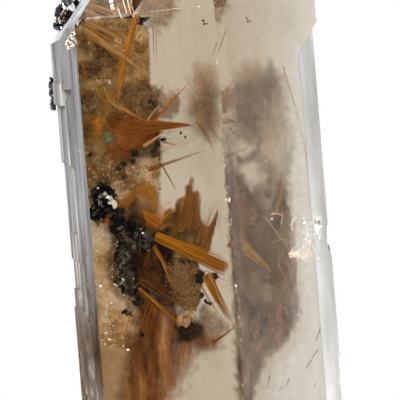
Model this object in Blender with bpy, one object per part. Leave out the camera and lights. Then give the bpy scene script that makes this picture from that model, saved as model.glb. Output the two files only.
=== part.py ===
# Rutilated smoky quartz crystal: one tall six-sided prism, cut flat at its base, grown round sprays of rutile
# and lumps of hematite. The clear crystal is parted in two along a plane through its inclusions, and every
# sealed piece lies in a pocket of its own form. Lengths below are millimetres, +Z is the crystal's long axis.

import math
import random

import bmesh
import bpy
from mathutils import Matrix, Vector

MM = 0.001
GAP = 0.3
HALF_PARTING = 0.15
OPENING_SIZE = 400.0
WELD = 0.0002 * MM
FLAT_ANGLE = 0.05
LUMP_CORNERS = 18
LUMP_REACH = (0.92, 1.14)
GOLDEN_ANGLE = math.pi * (3.0 - math.sqrt(5.0))
BLADE_SIDES = 5
ROOT_REACH = 0.8
TIP_REACH = 2.5
POINT_GROWTH = 1.5

# Frame: where the middle of the crystal's outline stands, so that the base is centred on the origin
CENTRE_X = -0.176
CENTRE_Y = -1.325

# Prism faces: turn about +Z from facing the front (positive to the left), distance from the axis and the
# height at which the sloping end face over it begins
PRISM = {
    "main": (17.0, 16.83, 76.3),
    "left": (77.0, 17.45, 75.6),
    "right": (-43.0, 17.62, 80.6),
    "back": (197.0, 14.55, 82.0),
    "back_left": (137.0, 14.30, 78.0),
    "back_right": (-103.0, 18.62, 83.0),
}
END_SLOPE = 38.2
MAIN_STEP = 2.3
MAIN_STEP_X = -6.6
MAIN_STEP_LEAN = 0.12
MAIN_STEP_HEIGHT = 76.0
MAIN_STEP_FLOOR = 70.0
BEVEL_TURN = -64.0
BEVEL_DISTANCE = 18.99
BEVEL_TOP = 71.8
BEVEL_TOP_LEAN = -58.0
BEVEL_TOP_X = 19.0

# Growth ledges on the left face: outward step, lower and upper height at the far edge, nearest and farthest y
LEFT_LEDGES = [
    (1.25, 67.4, 90.0, -6.4, 10.0),
    (1.50, 65.0, 68.3, -5.1, 10.0),
    (0.90, 56.1, 65.9, -6.9, 10.0),
    (0.50, 41.6, 57.0, -7.6, 10.0),
    (0.70, 17.5, 34.4, -6.1, 10.0),
    (0.45, 3.0, 18.4, -8.3, 10.0),
    (0.80, 46.0, 61.5, -4.3, -1.4),
    (0.92, 22.0, 37.5, -4.0, -0.8),
    (0.30, 33.2, 43.1, -8.8, 1.6),
]
LEDGE_FALL = 0.105
LEDGE_ROOT = 0.9
LEDGE_INSET = 0.07
BACK_LEDGE_INSET = 0.25
LEDGE_INSET_GROWTH = 0.013

# Low growth ledges on the faces turned away: face, outward step, lower height, upper height, end lean
BACK_LEDGES = [
    ("back", 0.45, 18.0, 46.0, 0.10),
    ("back", 0.30, 48.0, 66.0, -0.16),
    ("back_left", 0.50, 30.0, 62.0, 0.14),
    ("back_right", 0.35, 24.0, 41.0, -0.12),
]

# Chips: centre, radii, seed
CHIPS = [
    ((20.7, -2.9, 41.8), (1.50, 2.6, 3.4), 3),
    ((18.3, -7.0, 44.0), (1.00, 1.9, 2.0), 5),
    ((20.4, -2.9, 20.4), (1.05, 1.3, 1.1), 7),
    ((-16.0, -13.1, 73.5), (1.25, 0.9, 1.5), 11),
    ((-14.4, -13.6, 76.0), (0.60, 0.7, 0.9), 13),
    ((5.3, -19.6, 48.9), (0.45, 0.60, 0.75), 17),
    ((5.3, -19.65, 46.9), (0.35, 0.60, 0.50), 19),
    ((5.2, -19.6, 35.6), (0.50, 0.60, 0.60), 23),
    ((5.4, -19.6, 26.9), (0.40, 0.60, 0.45), 29),
    ((5.2, -19.6, 20.6), (0.45, 0.60, 0.50), 31),
    ((-15.6, -13.1, 52.5), (0.50, 0.60, 0.90), 37),
    ((-15.6, -13.1, 30.8), (0.45, 0.60, 1.20), 41),
    ((-3.2, 15.9, 22.0), (0.80, 0.80, 1.40), 43),
    ((16.3, 10.6, 55.0), (0.60, 0.70, 1.30), 47),
]

# Black lumps: centre, radii, seed
HEMATITE_CORE = [
    ((-11.8, -0.6, 50.7), (2.20, 1.9, 2.10), 1),
    ((-10.4, -0.6, 48.4), (1.90, 1.7, 1.70), 2),
    ((-9.2, -0.7, 46.1), (2.20, 1.9, 1.80), 3),
    ((-7.5, -0.7, 44.7), (1.70, 1.6, 1.50), 4),
    ((-5.9, -0.9, 43.6), (1.50, 1.5, 1.60), 5),
    ((-8.3, -0.6, 43.2), (1.40, 1.4, 1.30), 6),
    ((-9.2, -0.5, 41.6), (1.30, 1.3, 1.60), 7),
    ((-9.0, -0.3, 39.3), (1.10, 1.1, 1.40), 8),
    ((-8.8, -0.2, 37.2), (0.85, 0.9, 1.30), 9),
    ((-12.6, -0.3, 48.3), (1.10, 1.2, 1.20), 10),
]
HEMATITE_TOP = [
    ((-16.95, 1.25, 78.6), (1.20, 1.8, 1.75), 21),
    ((-16.05, 0.85, 80.0), (1.20, 1.6, 1.40), 22),
    ((-17.7, 1.35, 77.0), (0.85, 1.3, 1.10), 23),
]
HEMATITE_EDGE = [
    ((-19.8, 1.3, 68.0), (0.55, 0.9, 1.20), 31),
    ((-19.8, 1.2, 66.5), (0.50, 0.8, 1.10), 32),
    ((-19.8, 1.2, 65.1), (0.52, 0.8, 1.00), 33),
]

# Sprays. A lump is centre, radii, seed. A blade is its centre line, half width at each end and thickness
# as a share of the width.
RUTILE_UPPER_LUMPS = [
    ((-7.6, 0.2, 60.0), (2.9, 2.2, 2.9), 41),
    ((-5.6, 0.5, 58.2), (1.9, 1.6, 2.1), 42),
]
RUTILE_UPPER_BLADES = [
    ([(-5.5, -0.4, 60.9), (2.7, -1.5, 60.1)], 0.75, 0.06, 0.8),
    ([(-4.4, -0.3, 60.7), (1.6, -0.9, 65.2)], 0.50, 0.06, 0.8),
    ([(-6.2, 0.0, 60.2), (-1.7, -0.9, 64.0)], 0.45, 0.06, 0.8),
    ([(-5.8, 0.3, 57.3), (-1.8, -0.3, 59.3)], 0.60, 0.12, 0.8),
    ([(-7.6, 0.3, 57.6), (-5.9, 0.0, 51.6)], 0.80, 0.20, 0.7),
    ([(-6.6, 0.1, 54.1), (-2.4, 0.4, 55.2), (4.4, 0.2, 56.3)], 0.24, 0.08, 1.0),
    ([(-2.8, 0.4, 55.2), (-0.5, 0.0, 50.7)], 0.20, 0.06, 1.0),
    ([(-7.9, 0.0, 60.8), (-8.4, -0.5, 64.7), (-6.8, -1.0, 71.1), (-4.1, -1.5, 77.1)], 0.60, 0.22, 0.8),
    ([(-4.2, -0.9, 68.6), (-13.0, -1.0, 75.9)], 0.22, 0.12, 1.0),
    ([(-5.9, -1.1, 72.4), (-12.4, -1.6, 77.0)], 0.20, 0.10, 1.0),
    ([(-4.6, 0.1, 60.9), (-3.0, 0.3, 66.0), (-2.1, 0.6, 75.3)], 0.34, 0.10, 0.8),
    ([(-9.2, 0.2, 60.9), (-11.4, -0.6, 65.6)], 0.80, 0.12, 0.6),
    ([(-9.0, 0.3, 58.8), (-12.3, -0.2, 56.2)], 0.70, 0.12, 0.6),
]
RUTILE_CLOUD_LUMPS = [
    ((4.7, 1.9, 63.0), (1.9, 2.2, 3.4), 51),
]
RUTILE_CLOUD_BLADES = [
    ([(4.4, 1.8, 62.0), (2.2, 2.2, 65.6)], 0.90, 0.10, 0.6),
    ([(4.5, 1.8, 63.0), (3.1, 2.6, 69.1)], 1.00, 0.10, 0.6),
    ([(4.9, 1.8, 63.0), (5.6, 2.2, 70.0)], 1.00, 0.10, 0.6),
    ([(5.0, 1.6, 62.6), (7.6, 1.2, 67.3)], 0.90, 0.10, 0.6),
    ([(5.0, 1.6, 62.0), (7.9, 0.6, 61.9)], 0.80, 0.10, 0.6),
    ([(4.8, 1.6, 61.4), (6.9, 1.0, 57.4)], 0.80, 0.08, 0.6),
    ([(4.6, 1.4, 61.0), (4.6, 0.6, 57.4)], 0.60, 0.08, 0.7),
    ([(4.2, 2.0, 61.4), (1.6, 2.8, 58.4)], 0.80, 0.10, 0.6),
    ([(4.7, 2.4, 63.0), (6.6, 5.2, 65.6)], 0.90, 0.10, 0.6),
    ([(4.7, 2.4, 62.0), (3.4, 5.0, 60.4)], 0.80, 0.10, 0.6),
]
RUTILE_FAN_LUMPS = [
    ((1.3, 0.9, 45.0), (2.3, 1.7, 2.2), 61),
]
RUTILE_FAN_BLADES = [
    ([(1.1, 0.8, 44.6), (1.0, 0.5, 49.2), (2.2, 0.1, 52.8)], 1.30, 0.06, 0.45),
    ([(0.6, 1.0, 44.8), (-0.6, 1.2, 49.6)], 1.00, 0.08, 0.5),
    ([(1.6, 1.0, 45.0), (2.8, 1.4, 49.4)], 0.90, 0.08, 0.5),
    ([(2.0, 0.7, 44.0), (4.1, 0.2, 45.4), (5.8, -0.3, 47.9)], 0.95, 0.06, 0.5),
    ([(2.2, 0.8, 43.8), (4.7, 0.6, 43.4)], 0.70, 0.06, 0.5),
    ([(1.2, 1.6, 45.0), (1.6, 4.2, 48.6)], 0.90, 0.08, 0.5),
]
RUTILE_MAIN_LUMPS = [
    ((-1.0, 1.3, 37.3), (2.6, 3.0, 4.4), 71),
    ((-4.6, 1.9, 36.3), (2.9, 3.3, 3.7), 72),
    ((-3.2, 3.4, 31.6), (3.6, 3.6, 4.6), 73),
    ((-0.4, -0.2, 40.6), (1.7, 1.7, 1.5), 74),
]
RUTILE_MAIN_BLADES = [
    ([(-4.6, -1.3, 44.9), (0.1, -1.3, 41.9), (6.6, -0.9, 38.5)], 1.00, 0.40, 0.6),
    ([(-3.6, -0.9, 44.0), (2.2, -0.5, 41.9), (6.5, -0.3, 40.2)], 0.50, 0.10, 0.6),
    ([(-4.9, -1.6, 43.2), (-2.0, -0.9, 37.4)], 0.55, 0.10, 0.7),
    ([(2.7, -0.8, 40.0), (4.3, -0.6, 35.6), (6.6, -0.5, 30.1)], 0.60, 0.10, 0.7),
    ([(1.0, 0.2, 37.8), (4.8, -0.2, 31.7)], 0.45, 0.08, 0.7),
    ([(-7.6, -0.2, 36.9), (-0.6, -0.6, 29.3)], 0.45, 0.08, 0.8),
    ([(-6.5, -0.6, 38.7), (-1.7, -1.1, 33.9)], 0.40, 0.08, 0.8),
    ([(-4.4, -0.6, 43.4), (-4.3, -0.6, 49.2)], 1.10, 0.35, 0.5),
    ([(-3.0, 3.0, 34.0), (-9.4, 2.6, 19.8)], 2.00, 0.30, 0.5),
    ([(-2.8, 3.2, 34.0), (-7.0, 3.8, 17.4)], 2.00, 0.30, 0.5),
    ([(-2.6, 3.4, 34.0), (-4.6, 4.6, 15.6)], 2.00, 0.30, 0.5),
    ([(-2.2, 3.6, 34.0), (-1.9, 5.0, 17.8)], 1.90, 0.30, 0.5),
    ([(-1.8, 3.4, 34.0), (2.0, 4.6, 23.2)], 1.70, 0.20, 0.5),
    ([(-1.2, 3.0, 34.0), (5.2, 3.4, 27.0)], 1.30, 0.12, 0.5),
    ([(-2.4, 2.8, 33.6), (3.0, 8.4, 31.0)], 1.60, 0.20, 0.5),
    ([(-1.4, 1.6, 37.0), (2.4, 8.0, 42.0)], 1.50, 0.20, 0.5),
    ([(-3.2, 3.2, 32.6), (-4.0, 8.6, 26.0)], 1.50, 0.20, 0.5),
]
RUTILE_SIDE_LUMPS = [
    ((9.7, 0.2, 35.5), (1.7, 3.2, 4.6), 81),
    ((9.4, 0.4, 43.0), (1.4, 2.8, 4.2), 82),
]
RUTILE_SIDE_BLADES = [
    ([(9.4, 0.2, 44.0), (9.3, 0.0, 54.0)], 1.30, 0.12, 0.9),
    ([(9.6, 0.0, 43.0), (11.2, -1.6, 50.0)], 1.10, 0.10, 0.8),
    ([(9.7, 0.3, 35.0), (8.6, 0.6, 25.4)], 1.40, 0.15, 0.8),
    ([(9.9, 0.0, 35.0), (11.4, -1.0, 28.6)], 1.00, 0.10, 0.8),
    ([(9.6, 1.0, 37.0), (10.6, 5.4, 39.6)], 1.10, 0.10, 0.8),
]

# Surface colours: base colour, roughness, metallic, transmission
MATERIALS = {
    "smoky_quartz": ((0.66, 0.56, 0.43, 1.0), 0.05, 0.0, 1.0),
    "hematite": ((0.030, 0.032, 0.036, 1.0), 0.22, 0.85, 0.0),
    "rutile_gold": ((0.60, 0.30, 0.05, 1.0), 0.35, 0.15, 0.0),
    "rutile_rust": ((0.24, 0.09, 0.025, 1.0), 0.45, 0.10, 0.0),
    "rutile_brown": ((0.20, 0.125, 0.075, 1.0), 0.55, 0.05, 0.0),
}
QUARTZ_IOR = 1.544
PLAIN_IOR = 1.45


def clear_scene():
    for thing in list(bpy.data.objects):
        bpy.data.objects.remove(thing, do_unlink=True)


def make_object(name, bm):
    bmesh.ops.recalc_face_normals(bm, faces=bm.faces)
    mesh = bpy.data.meshes.new(name)
    bm.to_mesh(mesh)
    bm.free()
    thing = bpy.data.objects.new(name, mesh)
    bpy.context.scene.collection.objects.link(thing)
    return thing


def drop_object(thing):
    mesh = thing.data
    bpy.data.objects.remove(thing, do_unlink=True)
    if mesh.users == 0:
        bpy.data.meshes.remove(mesh)


def combine(thing, others, operation):
    # One Boolean of the body with all the others, written back into the body
    group = bpy.data.collections.new("others")
    for other in others:
        group.objects.link(other)
    modifier = thing.modifiers.new("combine", "BOOLEAN")
    modifier.operation = operation
    modifier.solver = "EXACT"
    modifier.operand_type = "COLLECTION"
    modifier.collection = group
    bpy.context.view_layer.update()
    shape = thing.evaluated_get(bpy.context.evaluated_depsgraph_get())
    mesh = bpy.data.meshes.new_from_object(shape)
    thing.modifiers.remove(modifier)
    old = thing.data
    thing.data = mesh
    bpy.data.meshes.remove(old)
    for other in others:
        drop_object(other)
    bpy.data.collections.remove(group)


def tidy_mesh(thing):
    # Welds the seams that a Boolean leaves and turns every face outwards
    bm = bmesh.new()
    bm.from_mesh(thing.data)
    bmesh.ops.remove_doubles(bm, verts=bm.verts, dist=WELD)
    bmesh.ops.dissolve_degenerate(bm, edges=bm.edges, dist=WELD)
    bmesh.ops.recalc_face_normals(bm, faces=bm.faces)
    bm.to_mesh(thing.data)
    bm.free()


def keep_largest(thing):
    # Drops the offcuts that a gap has parted from the body
    bm = bmesh.new()
    bm.from_mesh(thing.data)
    left = set(bm.verts)
    groups = []
    while left:
        group = [left.pop()]
        for vert in group:
            for edge in vert.link_edges:
                other = edge.other_vert(vert)
                if other in left:
                    left.remove(other)
                    group.append(other)
        groups.append(group)
    groups.sort(key=len)
    for group in groups[:-1]:
        bmesh.ops.delete(bm, geom=group, context="VERTS")
    bm.to_mesh(thing.data)
    bm.free()


def radial(turn):
    angle = math.radians(turn)
    return Vector((-math.sin(angle), -math.cos(angle), 0.0))


def face_plane(name, step=0.0):
    turn, distance, _ = PRISM[name]
    outward = radial(turn)
    return outward, outward * (distance + step)


def end_plane(name, step=0.0):
    turn, distance, shoulder = PRISM[name]
    slope = math.radians(END_SLOPE)
    outward = radial(turn) * math.cos(slope) + Vector((0.0, 0.0, math.sin(slope)))
    point = radial(turn) * distance + Vector((0.0, 0.0, shoulder))
    return outward, point + outward * step


def hull_of(points):
    # Closed hull of the points, with its flat faces whole
    bm = bmesh.new()
    for point in points:
        bm.verts.new(point)
    bmesh.ops.remove_doubles(bm, verts=bm.verts, dist=WELD)
    hull = bmesh.ops.convex_hull(bm, input=bm.verts)
    spare = [item for item in hull["geom_interior"] if isinstance(item, bmesh.types.BMVert)]
    bmesh.ops.delete(bm, geom=spare, context="VERTS")
    bmesh.ops.dissolve_limit(bm, angle_limit=math.radians(FLAT_ANGLE), verts=bm.verts, edges=bm.edges)
    return bm


def convex_body(name, planes):
    # What is left of a large block behind every plane
    reach = 0.5 * OPENING_SIZE * MM
    signs = (-1.0, 1.0)
    points = [Vector((x, y, z)) * reach for x in signs for y in signs for z in signs]
    for outward, point in planes:
        bm = hull_of(points)
        bmesh.ops.bisect_plane(
            bm,
            geom=bm.verts[:] + bm.edges[:] + bm.faces[:],
            plane_co=point * MM,
            plane_no=outward,
            clear_outer=True,
        )
        points = [v.co.copy() for v in bm.verts]
        bm.free()
    return make_object(name, hull_of(points))


def level(height, upper, fall=0.0):
    # Plane across the prism, above or below, that falls towards the front by the given slope
    outward = Vector((0.0, -fall, 1.0)).normalized()
    point = Vector((0.0, 0.0, height))
    if upper:
        return outward, point
    return -outward, point


def lump(name, centre, radii, seed, grow=0.0, corners=LUMP_CORNERS):
    # Faceted lump: the hull of points spread in a spiral over an ellipsoid, each a little off its place
    rng = random.Random(seed)
    spin = rng.random() * math.tau
    points = []
    for i in range(corners):
        height = 1.0 - 2.0 * (i + 0.5) / corners
        around = spin + i * GOLDEN_ANGLE + rng.uniform(-0.25, 0.25)
        ring = math.sqrt(1.0 - height * height)
        direction = Vector((ring * math.cos(around), ring * math.sin(around), height))
        reach = rng.uniform(*LUMP_REACH)
        offset = Vector([direction[axis] * (radii[axis] * reach + grow) for axis in range(3)])
        points.append((Vector(centre) + offset) * MM)
    return make_object(name, hull_of(points))


def blade(name, line, start, end, flatness, grow=0.0, sides=BLADE_SIDES):
    # Pointed five-sided blade along a line, widest in the plane of the spray
    points = [Vector(p) for p in line]
    count = len(points)
    bm = bmesh.new()
    rings = []
    for i, point in enumerate(points):
        ahead = points[min(i + 1, count - 1)] - points[max(i - 1, 0)]
        along = ahead.normalized()
        across = along.cross(Vector((0.0, 1.0, 0.0))).normalized()
        through = along.cross(across).normalized()
        share = i / (count - 1)
        half_width = start + (end - start) * share
        ring = []
        for k in range(sides):
            angle = 2.0 * math.pi * (k + 0.5) / sides
            offset = across * math.cos(angle) * (half_width + grow)
            offset += through * math.sin(angle) * (half_width * flatness + grow)
            ring.append(bm.verts.new((point + offset) * MM))
        rings.append(ring)
    first_way = (points[0] - points[1]).normalized()
    last_way = (points[-1] - points[-2]).normalized()
    root = bm.verts.new((points[0] + first_way * (start * ROOT_REACH + grow * POINT_GROWTH)) * MM)
    tip = bm.verts.new((points[-1] + last_way * (end * TIP_REACH + grow * POINT_GROWTH)) * MM)
    for lower, upper in zip(rings, rings[1:]):
        for k in range(sides):
            n = (k + 1) % sides
            bm.faces.new((lower[k], lower[n], upper[n], upper[k]))
    for k in range(sides):
        n = (k + 1) % sides
        bm.faces.new((root, rings[0][n], rings[0][k]))
        bm.faces.new((tip, rings[-1][k], rings[-1][n]))
    return make_object(name, bm)


def grown_parts(lumps, blades, grow=0.0):
    parts = [lump("lump", c, r, s, grow) for c, r, s in lumps]
    parts += [blade("blade", line, a, b, flat, grow) for line, a, b, flat in blades]
    return parts


def grown_body(name, lumps, blades, grow=0.0):
    # Everything that has grown together, joined in one solid
    parts = grown_parts(lumps, blades, grow)
    body = parts[0]
    combine(body, parts[1:], "UNION")
    tidy_mesh(body)
    body.name = name
    return body


def quartz_trunk():
    names = list(PRISM)
    sides = [face_plane(name) for name in names]
    ends = [end_plane(name) for name in names]
    base = level(0.0, upper=False)
    trunk = convex_body("quartz", sides + ends + [base])

    # The sloping end over the main face stands higher on the right of a step
    planes = [face_plane(name, -LEDGE_INSET) for name in names]
    planes += [end_plane(name, MAIN_STEP if name == "main" else -LEDGE_INSET) for name in names]
    step_side = Vector((-1.0, 0.0, MAIN_STEP_LEAN)).normalized()
    planes.append((step_side, Vector((MAIN_STEP_X, 0.0, MAIN_STEP_HEIGHT))))
    planes.append(level(MAIN_STEP_FLOOR, upper=False))
    ledges = [convex_body("step", planes)]

    for number, (step, low, high, near, far) in enumerate(LEFT_LEDGES, 1):
        inset = LEDGE_INSET + number * LEDGE_INSET_GROWTH
        planes = [face_plane(name, -inset) for name in names if name != "left"]
        planes += [end_plane(name, LEDGE_INSET if name == "left" else -inset) for name in names]
        planes.append(face_plane("left", step))
        inward, back_point = face_plane("left", -LEDGE_ROOT * number)
        planes.append((-inward, back_point))
        planes.append(level(low, False, LEDGE_FALL))
        planes.append(level(high, True, LEDGE_FALL))
        planes.append((Vector((0.0, -1.0, 0.0)), Vector((0.0, near, 0.0))))
        planes.append((Vector((0.0, 1.0, 0.0)), Vector((0.0, far, 0.0))))
        ledges.append(convex_body("ledge", planes))

    for number, (name, step, low, high, lean) in enumerate(BACK_LEDGES, 1):
        inset = BACK_LEDGE_INSET + number * LEDGE_INSET_GROWTH
        planes = [face_plane(other, -inset) for other in names if other != name]
        planes.append(face_plane(name, step))
        inward, back_point = face_plane(name, -LEDGE_ROOT * number)
        planes.append((-inward, back_point))
        planes.append(level(low, False, lean))
        planes.append(level(high, True, -lean))
        ledges.append(convex_body("ledge", planes))
    combine(trunk, ledges, "UNION")

    # Narrow face along the right edge, which runs out below the end of the prism
    outward = radial(BEVEL_TURN)
    keep_from = (-outward, outward * BEVEL_DISTANCE)
    lean = math.radians(BEVEL_TOP_LEAN)
    bevel_top = (Vector((math.sin(lean), 0.0, math.cos(lean))), Vector((BEVEL_TOP_X, 0.0, BEVEL_TOP)))
    cuts = [convex_body("bevel", [keep_from, bevel_top])]
    cuts += [lump("chip", centre, radii, seed) for centre, radii, seed in CHIPS]
    combine(trunk, cuts, "DIFFERENCE")
    return trunk


def halve(thing, sign):
    # Keeps the half on one side of the parting plane and closes it with a flat face
    bm = bmesh.new()
    bm.from_mesh(thing.data)
    outward = Vector((0.0, sign, 0.0))
    found = bmesh.ops.bisect_plane(
        bm,
        geom=bm.verts[:] + bm.edges[:] + bm.faces[:],
        plane_co=-outward * HALF_PARTING * MM,
        plane_no=outward,
        clear_outer=True,
    )
    rim = [item for item in found["geom_cut"] if isinstance(item, bmesh.types.BMEdge)]
    bmesh.ops.contextual_create(bm, geom=rim)
    bmesh.ops.recalc_face_normals(bm, faces=bm.faces)
    bm.to_mesh(thing.data)
    bm.free()


def cut_pockets(body, shapes):
    for lumps, blades in shapes:
        combine(body, [grown_body("pocket", lumps, blades, GAP)], "DIFFERENCE")


def colour(thing, material_name):
    base, roughness, metallic, transmission = MATERIALS[material_name]
    material = bpy.data.materials.get(material_name)
    if material is None:
        material = bpy.data.materials.new(material_name)
        material.use_nodes = True
        shader = material.node_tree.nodes["Principled BSDF"]
        shader.inputs["Base Color"].default_value = base
        shader.inputs["Roughness"].default_value = roughness
        shader.inputs["Metallic"].default_value = metallic
        shader.inputs["Transmission Weight"].default_value = transmission
        shader.inputs["IOR"].default_value = QUARTZ_IOR if transmission else PLAIN_IOR
        material.diffuse_color = base
    thing.data.materials.clear()
    thing.data.materials.append(material)


def main():
    clear_scene()
    sealed = {
        "rutile_main": (RUTILE_MAIN_LUMPS, RUTILE_MAIN_BLADES, "rutile_gold"),
        "hematite_core": (HEMATITE_CORE, [], "hematite"),
        "rutile_upper": (RUTILE_UPPER_LUMPS, RUTILE_UPPER_BLADES, "rutile_rust"),
        "rutile_cloud": (RUTILE_CLOUD_LUMPS, RUTILE_CLOUD_BLADES, "rutile_brown"),
        "rutile_fan": (RUTILE_FAN_LUMPS, RUTILE_FAN_BLADES, "rutile_brown"),
        "rutile_side": (RUTILE_SIDE_LUMPS, RUTILE_SIDE_BLADES, "rutile_brown"),
    }
    outside = {
        "hematite_top": HEMATITE_TOP,
        "hematite_edge": HEMATITE_EDGE,
    }

    front = quartz_trunk()
    front.name = "quartz_front"
    back = front.copy()
    back.data = front.data.copy()
    back.name = "quartz_back"
    bpy.context.scene.collection.objects.link(back)
    halve(front, 1.0)
    halve(back, -1.0)
    pockets = [(lumps, blades) for lumps, blades, _ in sealed.values()]
    pockets += [(lumps, []) for lumps in outside.values()]
    for half in (front, back):
        cut_pockets(half, pockets)
        tidy_mesh(half)
        keep_largest(half)
        colour(half, "smoky_quartz")

    made = {}
    for name, (lumps, blades, material) in sealed.items():
        made[name] = grown_body(name, lumps, blades)
        colour(made[name], material)
    for name, lumps in outside.items():
        made[name] = grown_body(name, lumps, [])
        colour(made[name], "hematite")

    # Pieces that meet are kept a gap apart: the later one is cut back
    meetings = [
        ("rutile_main", HEMATITE_CORE, []),
        ("rutile_fan", RUTILE_MAIN_LUMPS, RUTILE_MAIN_BLADES),
    ]
    for name, lumps, blades in meetings:
        combine(made[name], [grown_body("gap", lumps, blades, GAP)], "DIFFERENCE")
        tidy_mesh(made[name])
        keep_largest(made[name])

    shift = Matrix.Translation(Vector((-CENTRE_X, -CENTRE_Y, 0.0)) * MM)
    for thing in [front, back] + list(made.values()):
        thing.data.transform(shift)


main()
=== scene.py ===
import math
import random

import bmesh
import bpy
from mathutils import Matrix, Vector, noise as fractal


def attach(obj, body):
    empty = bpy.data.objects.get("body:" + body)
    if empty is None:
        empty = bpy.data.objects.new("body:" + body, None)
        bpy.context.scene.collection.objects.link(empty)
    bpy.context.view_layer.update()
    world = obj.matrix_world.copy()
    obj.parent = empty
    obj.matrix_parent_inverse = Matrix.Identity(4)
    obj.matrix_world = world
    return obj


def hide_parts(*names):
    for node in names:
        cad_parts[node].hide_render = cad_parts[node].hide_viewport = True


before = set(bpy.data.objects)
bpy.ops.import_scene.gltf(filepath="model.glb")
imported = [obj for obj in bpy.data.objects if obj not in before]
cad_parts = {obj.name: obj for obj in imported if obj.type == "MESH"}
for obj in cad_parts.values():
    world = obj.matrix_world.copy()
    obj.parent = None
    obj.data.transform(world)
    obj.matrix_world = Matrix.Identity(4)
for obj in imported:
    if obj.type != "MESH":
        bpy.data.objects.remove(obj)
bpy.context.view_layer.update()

# Lengths are millimetres in a drawing frame on the crystal's own axis. SHIFT carries it to the part's frame.
MM = 0.001
SHIFT = Vector((0.176, 1.325, 0.0))

# Camera of the photograph: distance to the crystal's axis, scale there, roll and the point at the middle
CAMERA_DISTANCE = 333.0
MM_PER_PIXEL = 0.15
ROLL = math.radians(4.55)
AIM_X = 1.1
AIM_Z = 49.0
MIDDLE_PIXEL = 200.0
SENSOR = 36.0

# The clear quartz: index, polish, colour and strength of the smoke in it
QUARTZ_IOR = 1.544
QUARTZ_ROUGHNESS = 0.015
SMOKE_TINT = (0.5625, 0.425, 0.1875, 1.0)
SMOKE_DENSITY = 40.0

# Studio: strength and greys of its walls, from the camera's side to the far side
WORLD_STRENGTH = 1.45
WORLD_STOPS = [
    (0.0, (0.98, 0.98, 0.98)),
    (0.5, (0.86, 0.86, 0.86)),
    (1.0, (0.69, 0.69, 0.69)),
]
CARD_TINT = (0.03, 0.03, 0.03, 1.0)

# Dark cards of the studio: direction, where their soft edge starts and ends, how dark
CARDS = [
    ((-0.559, -0.828, 0.0), 0.80, 0.94, 1.0),
    ((0.997, -0.069, 0.0), 0.86, 0.97, 0.92),
]

# Area lights in metres: name, place, aim, size, watts
LIGHTS = [
    ("key", (-0.25, -0.35, 0.35), (0.0, 0.0, 0.05), (0.25, 0.25), 6.0),
    ("front", (0.02, -0.45, 0.03), (-0.008, 0.0, 0.03), (0.15, 0.15), 1.0),
]

# Floor: radius and how far it lies below the base, in metres
FLOOR_RADIUS = 0.10
FLOOR_DROP = 0.0005
FLOOR_TINT = (0.9, 0.9, 0.9, 1.0)

# Prism faces: turn from facing the front, distance from the axis, height of the shoulder
PRISM = {
    "main": (17.0, 16.83, 76.3),
    "left": (77.0, 17.45, 75.6),
    "right": (-43.0, 17.62, 80.6),
    "back": (197.0, 14.55, 82.0),
    "back_left": (137.0, 14.30, 78.0),
    "back_right": (-103.0, 18.62, 83.0),
}
END_SLOPE = 38.2

# Raised step of the main end face: height of its tread, its side, its lean and its floor
MAIN_STEP = 2.3
MAIN_STEP_X = -6.6
MAIN_STEP_LEAN = 0.12
MAIN_STEP_HEIGHT = 76.0
MAIN_STEP_FLOOR = 70.0

# Bevel between the right and the back right face, and the slanted cut that ends it
BEVEL_TURN = -64.0
BEVEL_DISTANCE = 18.99
BEVEL_TOP = 71.8
BEVEL_TOP_LEAN = -58.0
BEVEL_TOP_X = 19.0

# Ledges on the left face: height over it, bottom, top, near and far end
LEFT_LEDGES = [
    (1.25, 67.4, 90.0, -6.4, 10.0),
    (1.50, 65.0, 68.3, -5.1, 10.0),
    (0.90, 56.1, 65.9, -6.9, 10.0),
    (0.50, 41.6, 57.0, -7.6, 10.0),
    (0.70, 17.5, 34.4, -6.1, 10.0),
    (0.45, 3.0, 18.4, -8.3, 10.0),
    (0.80, 46.0, 61.5, -4.3, -1.4),
    (0.92, 22.0, 37.5, -4.0, -0.8),
    (0.30, 33.2, 43.1, -8.8, 1.6),
]
LEDGE_FALL = 0.105
LEDGE_ROOT = 0.9
LEDGE_INSET = 0.07
BACK_LEDGE_INSET = 0.25
LEDGE_INSET_GROWTH = 0.013

# Ledges on the hidden faces: face, height over it, bottom, top, lean
BACK_LEDGES = [
    ("back", 0.45, 18.0, 46.0, 0.10),
    ("back", 0.30, 48.0, 66.0, -0.16),
    ("back_left", 0.50, 30.0, 62.0, 0.14),
    ("back_right", 0.35, 24.0, 41.0, -0.12),
]

# Chips broken out of the crystal: centre, radii, seed
CHIPS = [
    ((20.7, -2.9, 41.8), (1.50, 2.6, 3.4), 3),
    ((18.3, -7.0, 44.0), (1.00, 1.9, 2.0), 5),
    ((20.4, -2.9, 20.4), (1.05, 1.3, 1.1), 7),
    ((-16.0, -13.1, 73.5), (1.25, 0.9, 1.5), 11),
    ((-14.4, -13.6, 76.0), (0.60, 0.7, 0.9), 13),
    ((5.3, -19.6, 48.9), (0.45, 0.60, 0.75), 17),
    ((5.3, -19.65, 46.9), (0.35, 0.60, 0.50), 19),
    ((5.2, -19.6, 35.6), (0.50, 0.60, 0.60), 23),
    ((5.4, -19.6, 26.9), (0.40, 0.60, 0.45), 29),
    ((5.2, -19.6, 20.6), (0.45, 0.60, 0.50), 31),
    ((-15.6, -13.1, 52.5), (0.50, 0.60, 0.90), 37),
    ((-15.6, -13.1, 30.8), (0.45, 0.60, 1.20), 41),
    ((-3.2, 15.9, 22.0), (0.80, 0.80, 1.40), 43),
    ((16.3, 10.6, 55.0), (0.60, 0.70, 1.30), 47),
]

# The two chips at the upper left, whose floor carries crumbs
CORNER_CHIPS = CHIPS[3:5]

# Pixels of the bevel's left border: a point just past it, and how far it leans
BEVEL_PIXEL_X = 302.5
BEVEL_PIXEL_Y = 56.0
BEVEL_PIXEL_LEAN = 0.073

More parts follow.
